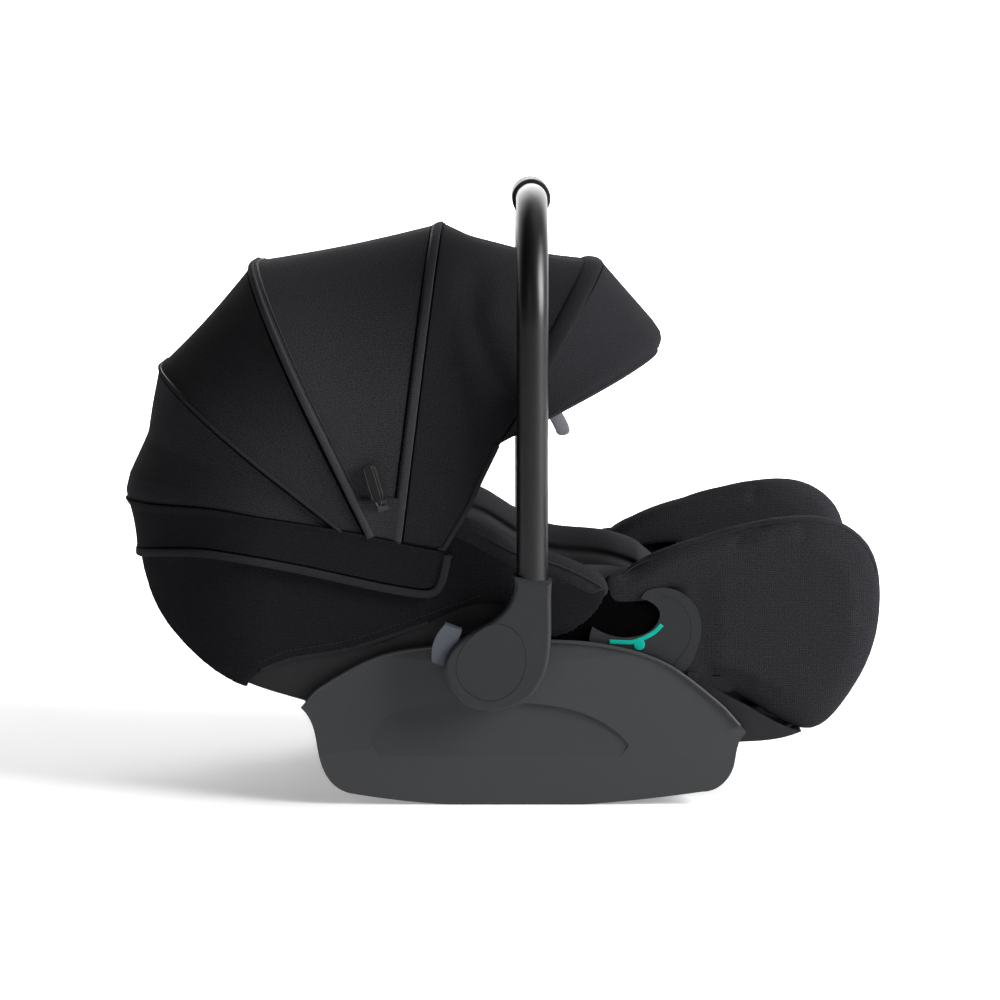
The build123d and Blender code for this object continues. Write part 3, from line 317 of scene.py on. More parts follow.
# %% The finishes
BASE_PLASTIC = plastic("Moulded polypropylene grey", "323335", 0.44, grain=1.1, depth=0.06, specular=0.25)
HUB_PLASTIC = plastic("Moulded nylon dark grey", "262729", 0.42, grain=1.0, specular=0.25)
# Tub plastic: black, and darkened further as painted shade of the shell, which lies in shadow under the
# cover.
TUB_PLASTIC_AND_SHADE = plastic("Moulded polypropylene black, darkened as painted shade", "1c1c1e", 0.55)
GUIDE_PLASTIC = plastic("Moulded polypropylene charcoal", "232426", 0.42)
MARK_PLASTIC = plastic("Belt mark teal polypropylene", "0b9c8b", 0.5, specular=0.06)
BUTTON_PLASTIC = plastic("Button nylon blue grey", "484c53", 0.45)
BUCKLE_PLASTIC = plastic("Buckle acetal black", "1d1e20", 0.34)
RED_PLASTIC = plastic("Buckle button red polypropylene", "b3201d", 0.36)
GRIP_PLASTIC = plastic("Grip soft-touch rubber", "1f2022", 0.5, grain=0.7)
TUBE_METAL = plastic("Aluminium tube powder coated black", "0c0c0e", 0.33,
                     grain=0.6, depth=0.02, specular=0.4)
WIRE = plastic("Spring wire coated black", "202123", 0.35)
STEEL = plastic("Steel zinc plated", "9a9b9c", 0.32, grain=0.6, depth=0.01, Metallic=1.0)
ZIP_METAL = plastic("Zinc slider dark nickel", "444447", 0.34, grain=0.5, depth=0.01, Metallic=1.0)
PULL_RUBBER = plastic("Zip pull moulded rubber", "111112", 0.38, grain=0.6)
ZIP_NYLON = plastic("Zip coil nylon", "222224", 0.5, grain=0.5, depth=0.02)
CANOPY_CLOTH = woven("Canopy cloth woven polyester black", "19191b", "303033", 1.0, depth=0.12)
ZIP_PANEL_CLOTH = woven("Zip panel cloth woven polyester charcoal", "1e1e20", "37373a", 1.0, depth=0.12)
# A darker copy of the canopy cloth: painted shade on the front panel, its bow tunnel and the visor, which
# face the key light.
SHADED_FRONT_CLOTH = woven("Canopy front cloth woven polyester deep black", "151517", "28282b", 1.0, depth=0.12)
HEAD_CLOTH = woven("Head cover cloth woven polyester deep black", "101012", "222225", 1.0, depth=0.1)
COVER_CLOTH = woven("Cover cloth woven polyester black", "19191b", "303033", 1.0, depth=0.1)
LINER_CLOTH = woven("Liner cloth knitted jersey black", "2a2a2c", "363638", 1.0, depth=0.1, sheen=0.01)
TAPE_CLOTH = woven("Binding tape polyester black", "1e1e20", "2f2f32", 0.8)
ZIP_TAPE = woven("Zip tape polyester charcoal", "2a2a2d", "3e3e42", 0.8)
WEBBING = woven("Harness webbing polyester black", "161618", "303034", 1.5, depth=0.4)
THREAD = plastic("Sewing thread polyester dark grey", "232325", 0.7, grain=0.5, depth=0.05)
# A near-black cloth with almost no sheen for thin strips in grooves, beside seams and behind the belt guide:
# its colour is painted shade.
PAINTED_SHADE_CLOTH = woven("Painted shade strip polyester black", "020202", "060607", 0.8, sheen=0.0)
TAB_CLOTH = woven("Tab tape polyester grey", "56565a", "77777b", 0.8)

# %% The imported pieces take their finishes
SLOT_MATERIALS = {
    "base_plastic": BASE_PLASTIC, "hub_plastic": HUB_PLASTIC, "tub_plastic": TUB_PLASTIC_AND_SHADE,
    "guide_plastic": GUIDE_PLASTIC, "belt_mark": MARK_PLASTIC, "steel": STEEL,
    "handle_aluminium": TUBE_METAL, "grip_plastic": GRIP_PLASTIC, "button_plastic": BUTTON_PLASTIC,
    "cover_fabric": COVER_CLOTH, "liner_fabric": LINER_CLOTH, "canopy_fabric": CANOPY_CLOTH,
    "webbing": WEBBING, "bow_wire": WIRE, "buckle_plastic": BUCKLE_PLASTIC, "release_red": RED_PLASTIC,
    "zip_metal": ZIP_METAL, "pull_rubber": PULL_RUBBER,
}
for entry in frame["record"]["subparts"]:
    node = nodes[entry["node"]]
    node.data.materials.clear()
    node.data.materials.append(SLOT_MATERIALS[entry["material_slot"]])
print("materials", len(bpy.data.materials))

# %% [markdown]
# ## The canopy
#
# Four bows turn on one pin at each side, so each bow lies in a plane. A hoop is a leg that
# rises from its foot, a round corner, and a flat top, mirrored to the far side. The cloth is
# a family of hoops: between two bows the foot and the crest slide along smooth lines, and the cloth
# sags a little inwards. Cutting that family at the bows gives the panels, which share
# their edges exactly.

# %% Hoops of the canopy
CANOPY_HALF = 184.0
CORNER = 150.0
# Rows of hoop number, x and z: where the hoops' feet and crests lie.
FOOT = np.array([
    (0.0, -144, 252), (1.0, -144, 252), (2.0, -116, 247), (3.0, -90, 241), (3.25, -52, 235),
    (3.4, -41, 253), (3.55, -28, 275), (3.7, -18, 298), (4.0, -2, 331), (5.0, 18, 342)])
CREST = np.array([
    (0.0, -352, 267), (1.0, -320, 391), (2.0, -232, 487), (3.0, -55, 523), (4.0, 96, 488), (4.8, 146, 431),
    (4.87, 150.5, 424.5), (4.93, 152, 417.5), (4.97, 150.5, 411.5), (5.0, 146, 405.5)])
# How far each panel sags at its crest and is drawn in at its sides, halfway between two bows.
SAG = np.array([0.0, 2.5, 2.5, 7.0, 0.0])
WAIST = np.array([1.0, 1.2, 1.2, 1.2, 0.5])
SEAM_KNOTS = [(-360, 266), (-335, 269), (-269, 271), (-216, 264), (-163, 256), (-117, 247.5), (-78, 238.5),
              (-44, 232)]
seam_line = smooth_line(SEAM_KNOTS, 120)


def hoop(foot, crest, half, corner, share):
    """Points at share 0 to 1 along hoops, from the near foot over the crest to the far foot.

    In the hoop's plane, with y across and r up from the foot: a leg at y = -half, an arc of
    the corner radius, a flat top at r = rise, and the same again on the far side.
    """
    rise = np.linalg.norm(crest - foot, axis=-1)[:, None]
    corner = np.minimum(corner, rise)
    leg = rise - corner
    top = half[:, None] - corner
    total = 2 * (leg + corner * math.pi / 2 + top)
    run = np.minimum(share, 1 - share)[None, :] * total
    angle = np.clip((run - leg) / corner, 0, math.pi / 2)
    flat = np.maximum(run - leg - corner * math.pi / 2, 0)
    y = -half[:, None] + corner * (1 - np.cos(angle)) + flat
    r = np.minimum(run, leg) + corner * np.sin(angle)
    y = np.where(share[None, :] > 0.5, -y, y)
    spot = foot[:, None] + (crest - foot)[:, None] * (r / rise)[..., None]
    return np.stack([spot[..., 0], y, spot[..., 1]], -1)


def canopy(u, share):
    """The cloth at hoop numbers u and shares along the hoop; the bows lie at u = 1, 2, 3 and 4."""
    panel = np.minimum(u.astype(int), 4)
    bow = np.sin(math.pi * (u - panel))
    foot = np.stack([np.interp(u, FOOT[:, 0], FOOT[:, k]) for k in (1, 2)], -1)
    crest = np.stack([np.interp(u, CREST[:, 0], CREST[:, k]) for k in (1, 2)], -1)
    crest = crest - unit(crest - foot) * (SAG[panel] * bow)[:, None]
    half = CANOPY_HALF - WAIST[panel] * bow
    points = hoop(foot, crest, half, np.full((len(u), 1), CORNER), share)
    seam_rise = np.interp(points[..., 0], *seam_line.T) - points[..., 2]
    points[..., 2] += np.where((u <= 0)[:, None], seam_rise, 0)
    return points


# %% Shapes of the rear and the front panel
# The belly's depth by share up the panel; the fold's hoop number and its depth by share along the hoop.
REAR_BELLY = np.array([(0, 0), (0.08, -3.3), (0.2, -3.4), (0.37, 1.2), (0.51, 4.6), (0.72, 2.0), (1, 0)])
REAR_TUCK = 1.2
HEAD_AXIS = (-150, 0)
VALLEY = np.array([(0.02, 3.9), (0.106, 3.7), (0.21, 3.4), (0.275, 3.24), (0.5, 3.16)])
VALLEY_DEPTH = np.array([(0.06, 0.0), (0.14, 7.0), (0.3, 9.0), (0.4, 3.5), (0.5, 0.5)])


def rear_panel(s, share):
    """The panel over the head: from the hem's seam (s = 0) to the first bow (s = 1), with its belly."""
    first = canopy(np.array([0.0]), share)[0]
    last = canopy(np.array([1.0]), share)[0]
    points = first[None] * (1 - s)[:, None, None] + last[None] * s[:, None, None]
    tuck = np.maximum(0, 1 - s / 0.05)[:, None] * unit(first[:, :2] - HEAD_AXIS)[None, :, 0]
    points[..., 0] -= REAR_TUCK * tuck
    points[..., 0] += np.interp(s, *REAR_BELLY.T)[:, None] * np.sin(math.pi * share)[None]
    points[..., 1] *= (1 - 0.012 * np.sin(math.pi * s))[:, None]
    return points


def normals(points):
    """Outward normals of a grid of points, from its two directions."""
    return unit(np.cross(np.gradient(points, axis=0), np.gradient(points, axis=1)))


def front_panel(u, share):
    """The front panel with its slack fold: a dent of Gaussian section, from the crest to the opening."""
    points = canopy(u, share)
    half = np.minimum(share, 1 - share)
    away = u[:, None] - np.interp(half, *VALLEY.T)[None]
    dent = np.exp(-((away / np.where(away < 0, 0.22, 0.12)) ** 2)) * np.interp(half, *VALLEY_DEPTH.T)[None]
    fade = np.clip((4 - u) / 0.2, 0, 1) * np.clip((u - 3) / 0.15, 0, 1)
    return points - normals(points) * (dent * fade[:, None])[..., None]


def blend_by(piece):
    """Bakes a piece's placement into its mesh."""
    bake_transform(piece)
    return piece


def thicken(piece, thickness, offset=-1.0):
    """Gives a sheet its thickness, inwards from the outside face."""
    made = piece.modifiers.new("Thickness", "SOLIDIFY")
    made.thickness = thickness * MM
    made.offset = offset
    made.use_even_offset = True
    return piece


# %% Panels and visor
PANEL_NODES = ["canopy_panel_rear", "canopy_panel_middle", "canopy_panel_zip", "canopy_panel_front"]
PANEL_CLOTHS = [CANOPY_CLOTH, CANOPY_CLOTH, ZIP_PANEL_CLOTH, SHADED_FRONT_CLOTH]
ROWS = 41
SHARE = np.linspace(0, 1, 161)
STEP = np.linspace(0, 1, ROWS)
panels = []
for number, node_name in enumerate(PANEL_NODES):
    make = {0: rear_panel, 3: front_panel}.get(number, canopy)
    cloth = make(STEP if number == 0 else number + STEP * 0.9999, SHARE)
    piece = grid_object("cloth_" + node_name, cloth, PANEL_CLOTHS[number], turn=True)
    thicken(piece, 1.2)
    blend_by(piece)
    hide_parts(node_name)
    panels.append(piece)
visor_grid = canopy(4 + STEP, SHARE)
visor = grid_object("cloth_visor", visor_grid, SHADED_FRONT_CLOTH, turn=True)
thicken(visor, 2.2)
dress(visor, "canopy_4", "visor")
print("canopy panels", [p.name for p in panels])

# %% [markdown]
# ## The hem of the canopy
#
# A padded band of the cover's cloth runs round the head end and holds the canopy's lower seam. Its
# top edge is that seam, lined with a thin near-black strip of painted shade. Its lower edge is bound
# with tape, with a second near-black strip of painted shade in a groove above it, and its front ends
# are cut round. It leans in a little on its way down.

# %% The hem band
HEM_FRONT = -47.0
# Rear x, half width and corner radius of the hem's edges, seen from above.
HEM_TOP_PLAN = (-352.0, 184.2, 150.0)
HEM_LOW_PLAN = (-341.5, 183.6, 128.0)
HEM_LOW_KNOTS = [(-342, 217), (-310, 224), (-271, 227), (-225, 222), (-181, 214), (-140, 205), (-108, 198),
                 (-80, 193), (-66, 192), (-58, 195), (-53, 203), (-50, 214), (-47, 228)]
HEM_OVERLAP = 0.6
HEM_SWELL = 2.4
SEAM_TUCK = 1.6
TUCK_SHARE = 0.12
# Shares along the hem that lie closer together at its round front ends.
ends = np.linspace(0, 1, 221)
HEM_SHARE = ends - 0.85 * np.sin(2 * math.pi * ends) / (2 * math.pi)


def plan_line(rear, half, corner):
    """The hem's line seen from above: along one side, round the head end, and back."""
    front = np.array([[HEM_FRONT, 0.0]])
    return hoop(front, np.array([[rear, 0.0]]), np.array([half]), np.array([[corner]]), HEM_SHARE)[0]


hem_top = plan_line(*HEM_TOP_PLAN)
hem_low = plan_line(*HEM_LOW_PLAN)
hem_out = unit(np.cross(np.gradient(hem_low, axis=0), [0, 0, 1.0]))
hem_top[:, 2] = np.interp(hem_top[:, 0], *seam_line.T) + HEM_OVERLAP
hem_low[:, 2] = np.interp(hem_low[:, 0], *smooth_line(HEM_LOW_KNOTS, 240).T)
down = np.linspace(0, 1, 17)
bulge = HEM_SWELL * np.sin(math.pi * down) ** 0.6
swell = np.minimum(down / TUCK_SHARE, 1) * (bulge + SEAM_TUCK) - SEAM_TUCK
hem_grid = hem_top[None] + (hem_low - hem_top)[None] * down[:, None, None]
hem_grid = hem_grid + hem_out[None] * swell[:, None, None]
hem = thicken(grid_object("hem_band", hem_grid, HEAD_CLOTH), 2.0)
dress(hem, "seat", "canopy_hem")

# %% Binding of the hem, and strips of painted shade in its groove and along its seam
hem_rise = unit(hem_top - hem_low)
HEM_STRIPS = {
    "hem_binding": (hem_low + hem_rise * 3.2 + hem_out * 1.4, band(7.4, 3.6), TAPE_CLOTH),
    # The groove and seam strips are near-black: painted shade in the hem's groove and along its top seam.
    "hem_groove_painted_shade": (hem_low + hem_rise * 7.6 + hem_out * 1.7, band(2.0, 1.2), PAINTED_SHADE_CLOTH),
    "hem_seam_painted_shade": (hem_top - hem_out * 0.4, band(2.4, 1.6), PAINTED_SHADE_CLOTH),
}
for name, (path, profile, material) in HEM_STRIPS.items():
    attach(sweep(name, path, hem_out, profile, material), "seat")
print("hem vertices", len(hem.data.vertices))

# %% [markdown]
# ## Seams, zips and bindings of the canopy
#
# On the rear bow the two panels meet in a thin piped seam. The next two bows carry the two halves of
# a zip that opens a mesh panel: a round ridge on one, a flat tape on the other, both with nylon teeth.
# The front bow sits in a wide tunnel of cloth, and the edges are bound with tape. Thin near-black
# strips beside the seam, the zip halves and the front bow are painted shade in their grooves. Each
# strip follows the same hoops as the cloth and moves with the bow that it is sewn to.

# %% Strips along the bows
def along_bow(u, aside=0.0, lift=0.0, share=SHARE):
    """A line beside bow u: aside millimetres towards the feet (or head, if negative), and lifted."""
    here = canopy(np.array([u]), share)[0]
    step = -0.05 if aside < 0 or u >= 5 else 0.05
    across = unit(canopy(np.array([u + step]), share)[0] - here) * np.sign(step)
    out = unit(np.cross(across, np.gradient(here, axis=0)))
    return here + across * aside + out * lift, out


def bow_body(u):
    """The body of the bow that carries a strip; the visor's edge moves with the front bow."""
    return "canopy_%d" % min(u, 4)


def bow_strip(name, u, aside, lift, profile, material, share=SHARE, taper=0.0):
    """One strip swept along a bow and carried by that bow's body."""
    path, out = along_bow(u, aside, lift, share)
    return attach(sweep(name, path, out, profile, material, taper), bow_body(u))


def zip_teeth(name, u, aside):
    """A row of nylon teeth 1.8 mm apart along a bow."""
    path, out = along_bow(u, aside, 1.0)
    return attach(stitches(name, path, out, ZIP_NYLON, pitch=1.8, length=1.0, width=2.6), bow_body(u))


bow_strip("seam_rear_piping", 1.0, 0.6, 0.7, circle(1.5), TAPE_CLOTH)
# The strips in the near-black cloth are painted shade in the grooves beside the seam, the zip and the front
# bow.
bow_strip("seam_rear_groove_painted_shade", 1.0, -1.6, 0.15, band(2.0, 1.0), PAINTED_SHADE_CLOTH)
bow_strip("zip_ridge_rear", 2.0, -0.6, 0.6, band(6.6, 4.6), ZIP_TAPE)
bow_strip("zip_ridge_rear_groove_painted_shade", 2.0, -5.2, 0.2, band(3.2, 1.2), PAINTED_SHADE_CLOTH)
bow_strip("zip_ridge_rear_edge", 2.0, 3.0, 1.0, circle(0.7), ZIP_TAPE)
zip_teeth("zip_teeth_rear", 2.0, 5.2)
bow_strip("zip_tape_front", 3.0, -3.0, 0.5, band(7.4, 2.8), ZIP_TAPE)
bow_strip("zip_tape_front_groove_painted_shade", 3.0, -8.6, 0.2, band(3.4, 1.0), PAINTED_SHADE_CLOTH)
zip_teeth("zip_teeth_front", 3.0, -7.4)
bow_strip("zip_tape_front_edge_painted_shade", 3.0, 1.6, 0.2, band(1.6, 1.2), PAINTED_SHADE_CLOTH)
tunnel = circle(1.0, 28) * [9.0, 2.9]
bow_strip("front_bow_tunnel", 4.0, -8.5, -0.4, tunnel, SHADED_FRONT_CLOTH, np.linspace(0.07, 0.93, 141), 0.12)
bow_strip("front_bow_groove_painted_shade", 4.0, 1.2, 0.2, band(1.8, 1.0), PAINTED_SHADE_CLOTH)
bow_strip("visor_binding", 5.0, -1.0, 0.0, band(3.2, 3.6), TAPE_CLOTH)
print("strips on the bows made")

# %% Edges of the opening
opening_u = np.linspace(3.22, 3.999, 60)
binding = band(4.6, 3.0)
for sign, word in SIDES:
    edge = canopy(opening_u, np.array([(1 + sign) / 2]))[:, 0]
    piece = sweep("opening_binding_" + word, edge, [0, float(sign), 0], binding, TAPE_CLOTH)
    blend_by(piece)

# %% Patches at the zip's feet
PATCH_LIFT = 0.8
patch_u = np.linspace(2.06, 2.94, 15)
patch_share = np.linspace(0.0, 0.052, 9)
for sign, word in SIDES:
    cloth = canopy(patch_u, patch_share if sign < 0 else 1 - patch_share[::-1])
    cloth[..., 1] += sign * PATCH_LIFT
    piece = thicken(grid_object("zip_foot_patch_" + word, cloth, ZIP_PANEL_CLOTH, turn=True), 1.6, 0.0)
    blend_by(piece)
print("bindings and patches made")

# %% [markdown]
# ## The zip's slider and pull
#
# The slider is a small cast body. Its pull is a moulded rubber tab with round ends and ribs across
# it, hung on a wire loop. The tab is a rounded outline whose thickness follows the ribs.

# %% Zip slider and pull
ZIP_AT = np.array([-108.5, -187.4, 277.0])
ZIP_TURN = math.radians(16)
LOOP_RISE = 3.6
LOOP_HALF = (2.6, 4.2)
zip_side = np.array([math.cos(ZIP_TURN), 0, math.sin(ZIP_TURN)])
zip_up = np.array([-math.sin(ZIP_TURN), 0, math.cos(ZIP_TURN)])
zip_out = np.array([0, -1.0, 0])


def ribbed_tab(name, length, width, thick, material, foot):
    """A flat tab: its half width follows a rounded outline, and its face has a raised rim and three ribs."""
    t = np.linspace(0, 1, 61)
    round_end = np.minimum(1, np.minimum(t, 1 - t) * length / (width / 2))
    half = width / 2 * np.sqrt(np.maximum(0.02, 1 - (1 - round_end) ** 2))
    ring = band(2.0, 2.0, 64)
    rib = 0.3 * np.cos(5 * math.pi * ring[:, 0]) * (np.abs(ring[:, 1]) > 0.5)
    spine = (foot + zip_up * (t * length)[:, None])[:, None]
    grid = spine + zip_side * (half[:, None] * ring[None, :, 0])[..., None]
    grid = grid + zip_out * ((thick / 2) * ring[None, :, 1] * (1 + rib[None]))[..., None]
    return grid_object(name, grid, material, wrap=True)


pull = ribbed_tab("zip_pull_tab", 36.0, 12.5, 3.4, PULL_RUBBER, ZIP_AT + zip_up * 3.0 + zip_out * 1.8)
dress(pull, "zip_tag", "zip_pull")
turn = np.linspace(0, 2 * math.pi, 40)[:, None]
loop = ZIP_AT + zip_up * (LOOP_RISE + LOOP_HALF[1] * np.sin(turn)) + zip_side * (LOOP_HALF[0] * np.cos(turn))
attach(sweep("zip_pull_loop", loop + zip_out * 1.6, zip_out, circle(0.7), ZIP_METAL), "zip_tag")
print("zip pull", len(pull.data.vertices))

# %% [markdown]
# ## Stuffed and foam pieces
#
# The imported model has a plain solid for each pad. A copy of it becomes the pad's cloth skin: merged,
# remeshed into even cells, and blown up a little by a cloth simulation with inside pressure, so that
# its sides swell between the seams. A cap on how far a point may move keeps it in its place.


# %% Points of a piece
def bake(piece):
    """Replaces a piece's mesh by what its modifiers make of it."""
    graph = bpy.context.evaluated_depsgraph_get()
    done = bpy.data.meshes.new_from_object(piece.evaluated_get(graph))
    piece.modifiers.clear()
    piece.data = done


def coordinates(piece):
    """A piece's points as an array, in millimetres."""
    flat = np.empty(len(piece.data.vertices) * 3)
    piece.data.vertices.foreach_get("co", flat)
    return flat.reshape(-1, 3) / MM


def set_coordinates(piece, points):
    """Puts points in millimetres back into a piece."""
    piece.data.vertices.foreach_set("co", (points * MM).ravel())
    piece.data.update()


# %% From a solid to a skin
BLOCK_ROWS = 25
BLOCK_COLUMNS = 48


def rounded_block(low, high, power=0.45):
    """A rounded block between two corners: a sphere's sines and cosines to a power, with their signs."""
    centre = (np.array(low) + high) / 2
    reach = (np.array(high) - low) / 2
    lat = np.linspace(-math.pi / 2, math.pi / 2, BLOCK_ROWS)[:, None]
    lon = np.linspace(0, 2 * math.pi, BLOCK_COLUMNS, endpoint=False)[None]
    axes = (np.cos(lat) * np.cos(lon), np.sin(lat), np.cos(lat) * np.sin(lon))
    ball = np.stack(np.broadcast_arrays(*axes), -1)
    shape = np.sign(ball) * np.abs(ball) ** power
    return (centre + reach * shape).reshape(-1, 3), grid_quads(BLOCK_ROWS, BLOCK_COLUMNS, wrap=True)


def soft_copy(name, node_name, voxel, material, added=()):
    """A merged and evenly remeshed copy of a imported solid, grown together with the added blocks."""
    source = nodes[node_name].data
    points = [coordinates(nodes[node_name])]
    faces = [tuple(f.vertices) for f in source.polygons]
    for block_points, block_faces in added:
        faces += (block_faces + sum(map(len, points))).tolist()
        points.append(block_points)
    mesh = bpy.data.meshes.new(name)
    mesh.from_pydata((np.vstack(points) * MM).tolist(), [], faces)
    made = bpy.data.objects.new(name, mesh)
    scene.collection.objects.link(made)
    weld = made.modifiers.new("Merge", "WELD")
    weld.merge_threshold = 0.02 * MM
    even = made.modifiers.new("Even", "REMESH")
    even.mode = "VOXEL"
    even.voxel_size = voxel * MM
    bake(made)
    made.data.materials.clear()
    made.data.materials.append(material)
    made.data.shade_smooth()
    return made


def puff(piece, cap, pressure=4.0):
    """Blows a skin up with cloth and inside pressure, then caps each point's move at cap millimetres."""
    before = coordinates(piece)
    cloth = piece.modifiers.new("Puff", "CLOTH")
    cloth.settings.use_pressure = True
    cloth.settings.uniform_pressure_force = pressure
    cloth.settings.effector_weights.gravity = 0
    for number in range(1, 21):
        scene.frame_set(number)
    bake(piece)
    scene.frame_set(1)
    move = coordinates(piece) - before
    far = np.linalg.norm(move, axis=1, keepdims=True)
    set_coordinates(piece, before + move * np.minimum(1, cap / np.maximum(far, 1e-6)))
    return piece


def smoothed(piece, times, share=0.5):
    """Relaxes a skin: each point moves share of the way to the mean of its neighbours, times over."""
    made = piece.modifiers.new("Relax", "SMOOTH")
    made.factor = share
    made.iterations = times
    bake(piece)
    return piece


# %% Fitting a skin
def fitted(piece, node_name):
    """Stretches a skin back to its solid's box, because remeshing and relaxing shrink its tips."""
    points = coordinates(piece)
    low, high = packed_box(node_name)
    share = (points - points.min(0)) / (points.max(0) - points.min(0))
    set_coordinates(piece, low + share * (high - low))
    return piece


def make_room(piece, node_name, gap):
    """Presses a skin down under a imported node: points below its box, widened by gap, stay gap under it."""
    points = coordinates(piece)
    low, high = packed_box(node_name)
    under = np.all((points[:, :2] > low[:2] - gap) & (points[:, :2] < high[:2] + gap), axis=1)
    points[:, 2] = np.where(under, np.minimum(points[:, 2], low[2] - gap), points[:, 2])
    set_coordinates(piece, points)
    return piece


SLACK_WAVES = ((23, 17), (41, -13))


def slack(piece, depth):
    """Lets a skin lie in long shallow waves: it sinks along its normals by depth (2 + sin + sin) / 4."""
    points = coordinates(piece)
    facing = np.empty(len(piece.data.vertices) * 3)
    piece.data.vertices.foreach_get("normal", facing)
    wave = sum(np.sin(points[:, 0] / a + points[:, 2] / b) for a, b in SLACK_WAVES)
    set_coordinates(piece, points - facing.reshape(-1, 3) * (depth * (2 + wave) / 4)[:, None])
    return piece


def mirrored(piece, name):
    """The same skin on the other side of the object: y becomes -y, and the faces are turned."""
    twin = bpy.data.objects.new(name, piece.data.copy())
    scene.collection.objects.link(twin)
    set_coordinates(twin, coordinates(piece) * [1, -1, 1])
    twin.data.flip_normals()
    return twin


def box_map(piece):
    """A UV map in metres for the weave: each face is seen along the axis that its normal leans to most."""
    mesh = piece.data
    lean = np.empty(len(mesh.polygons) * 3)
    mesh.polygons.foreach_get("normal", lean)
    sides = np.empty(len(mesh.polygons), int)
    mesh.polygons.foreach_get("loop_total", sides)
    corner = np.empty(len(mesh.loops), int)
    mesh.loops.foreach_get("vertex_index", corner)
    axis = np.repeat(np.abs(lean.reshape(-1, 3)).argmax(1), sides)
    across = np.array([[1, 2], [0, 2], [0, 1]])[axis]
    layer = mesh.uv_layers.new(name="UVMap")
    layer.data.foreach_set("uv", (np.take_along_axis(coordinates(piece)[corner], across, 1) * MM).ravel())
    return piece


# %% [markdown]
# ## The head cover and the wings
#
# The cover over the tub's head end hangs a little slack, so its skin sinks in long shallow waves.
# The wings at the feet are stuffed: a flap and a collar grow out of each one and lie under the belt guide,
# where the skin is pressed flat. The far wing is the near one mirrored.

# %% Head cover
cover = box_map(slack(smoothed(soft_copy("cover_skin", "head_cover", 3.2, HEAD_CLOTH), 4), 1.2))
dress(cover, "seat", "head_cover")
print("head cover", len(cover.data.vertices))

# %% Wings
WING_FLAP = rounded_block((93, -174, 184), (146, -158, 216))
WING_COLLAR = rounded_block((150, -174, 96), (218, -158, 212))
GUIDE_BACK = -172.8
GUIDE_FRONT_X = 184
GUIDE_TOP_Z = 201
wing = soft_copy("wing_near", "leg_wing_near", 4.0, COVER_CLOTH, [WING_FLAP, WING_COLLAR])
wing = fitted(puff(smoothed(wing, 3), 4.0), "leg_wing_near")
pressed = coordinates(wing)
beyond = np.maximum(pressed[:, 0] - GUIDE_FRONT_X, pressed[:, 2] - GUIDE_TOP_Z).clip(0)
pressed[:, 1] = np.maximum(pressed[:, 1], GUIDE_BACK - 0.12 * beyond)
set_coordinates(wing, pressed)
box_map(wing)
wing_far = mirrored(wing, "wing_far")
for piece, node_name in ((wing, "leg_wing_near"), (wing_far, "leg_wing_far")):
    dress(piece, "seat", node_name)


# %% Piping along the wings' edge
WING_CENTRE = np.array([265.0, 0.0, 175.0])
WING_RAYS = 120
PIPED_RAYS = slice(2, 52)
EDGE_LEAN = math.radians(32)


def outline_of(piece, centre, count, lean):
    """For count directions about a centre, seen along y, the point farthest out and towards the viewer."""
    points = coordinates(piece)
    flat = points[:, [0, 2]] - centre
    turn = ((np.arctan2(flat[:, 1], flat[:, 0]) + math.pi) / (2 * math.pi) * count).astype(int) % count
    score = np.linalg.norm(flat, axis=1) * math.cos(lean) - points[:, 1] * math.sin(lean)
    order = np.lexsort((score, turn))
    last = np.searchsorted(turn[order], np.arange(count), side="right") - 1
    return points[order[last]]


around = outline_of(wing, WING_CENTRE[[0, 2]], WING_RAYS, EDGE_LEAN)
around = np.stack([running_mean(column, 3, "wrap") for column in around.T], -1)
wing_top = around[::-1][PIPED_RAYS]
for sign, word in SIDES:
    path = wing_top * [1, -sign, 1]
    out = unit((path - WING_CENTRE) * [1, 0, 1]) * 0.8 + np.array([0, 0.6 * sign, 0])
    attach(sweep("wing_piping_" + word, path + out * 0.5, out, circle(1.0), TAPE_CLOTH), "seat")
print("wing edge from", wing_top[0].round(), "to", wing_top[-1].round())

# %% [markdown]
# ## Pads in the tub
#
# Liner, insert, leg pad, pillow and harness sleeves are skins of the same kind. Each row of the table
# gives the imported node, the body, the cell size, the rounds of relaxing and the cap on the swelling.

# %% Pads
PADS = {
    "liner": ("seat_liner", "seat", 4.5, 5, 0.0),
    "insert": ("body_insert", "seat", 4.5, 3, 1.0),
    "foot_pad": ("leg_pad", "seat", 4.5, 3, 4.0),
    "pillow": ("head_pillow", "headrest", 4.5, 3, 5.0),
    "shoulder_sleeves": ("shoulder_pads", "seat", 3.0, 3, 2.5),
    "crotch_sleeve": ("crotch_pad", "seat", 3.0, 3, 2.5),
}
for name, (node_name, body, voxel, relax, cap) in PADS.items():
    piece = smoothed(soft_copy(name, node_name, voxel, LINER_CLOTH), relax)
    if cap:
        puff(piece, cap)
    if name == "foot_pad":
        make_room(piece, "harness_adjuster", 3.0)
    dress(box_map(piece), body, node_name)

# %% [markdown]
# ## Lines of stitching on the cover
#
# The cover's lower edge is hemmed with one row of thread, and a bound edge follows it. Rays shot
# across at the cover's skin give the line its depth, so it lies on the cloth.


# %% Stitching and binding on the head cover
def cast_on(source, starts, direction):
    """Points and normals where rays from the starts first meet a mesh; a ray that misses is left out."""
    mesh = source.data
    corners = [v.co[:] for v in mesh.vertices]
    tree = BVHTree.FromPolygons(corners, [f.vertices[:] for f in mesh.polygons])
    hits = [tree.ray_cast(tuple(start * MM), direction) for start in starts]
    kept = [(h[0], h[1]) for h in hits if h[0] is not None]
    return np.array([h[0] for h in kept]) / MM, np.array([h[1] for h in kept])


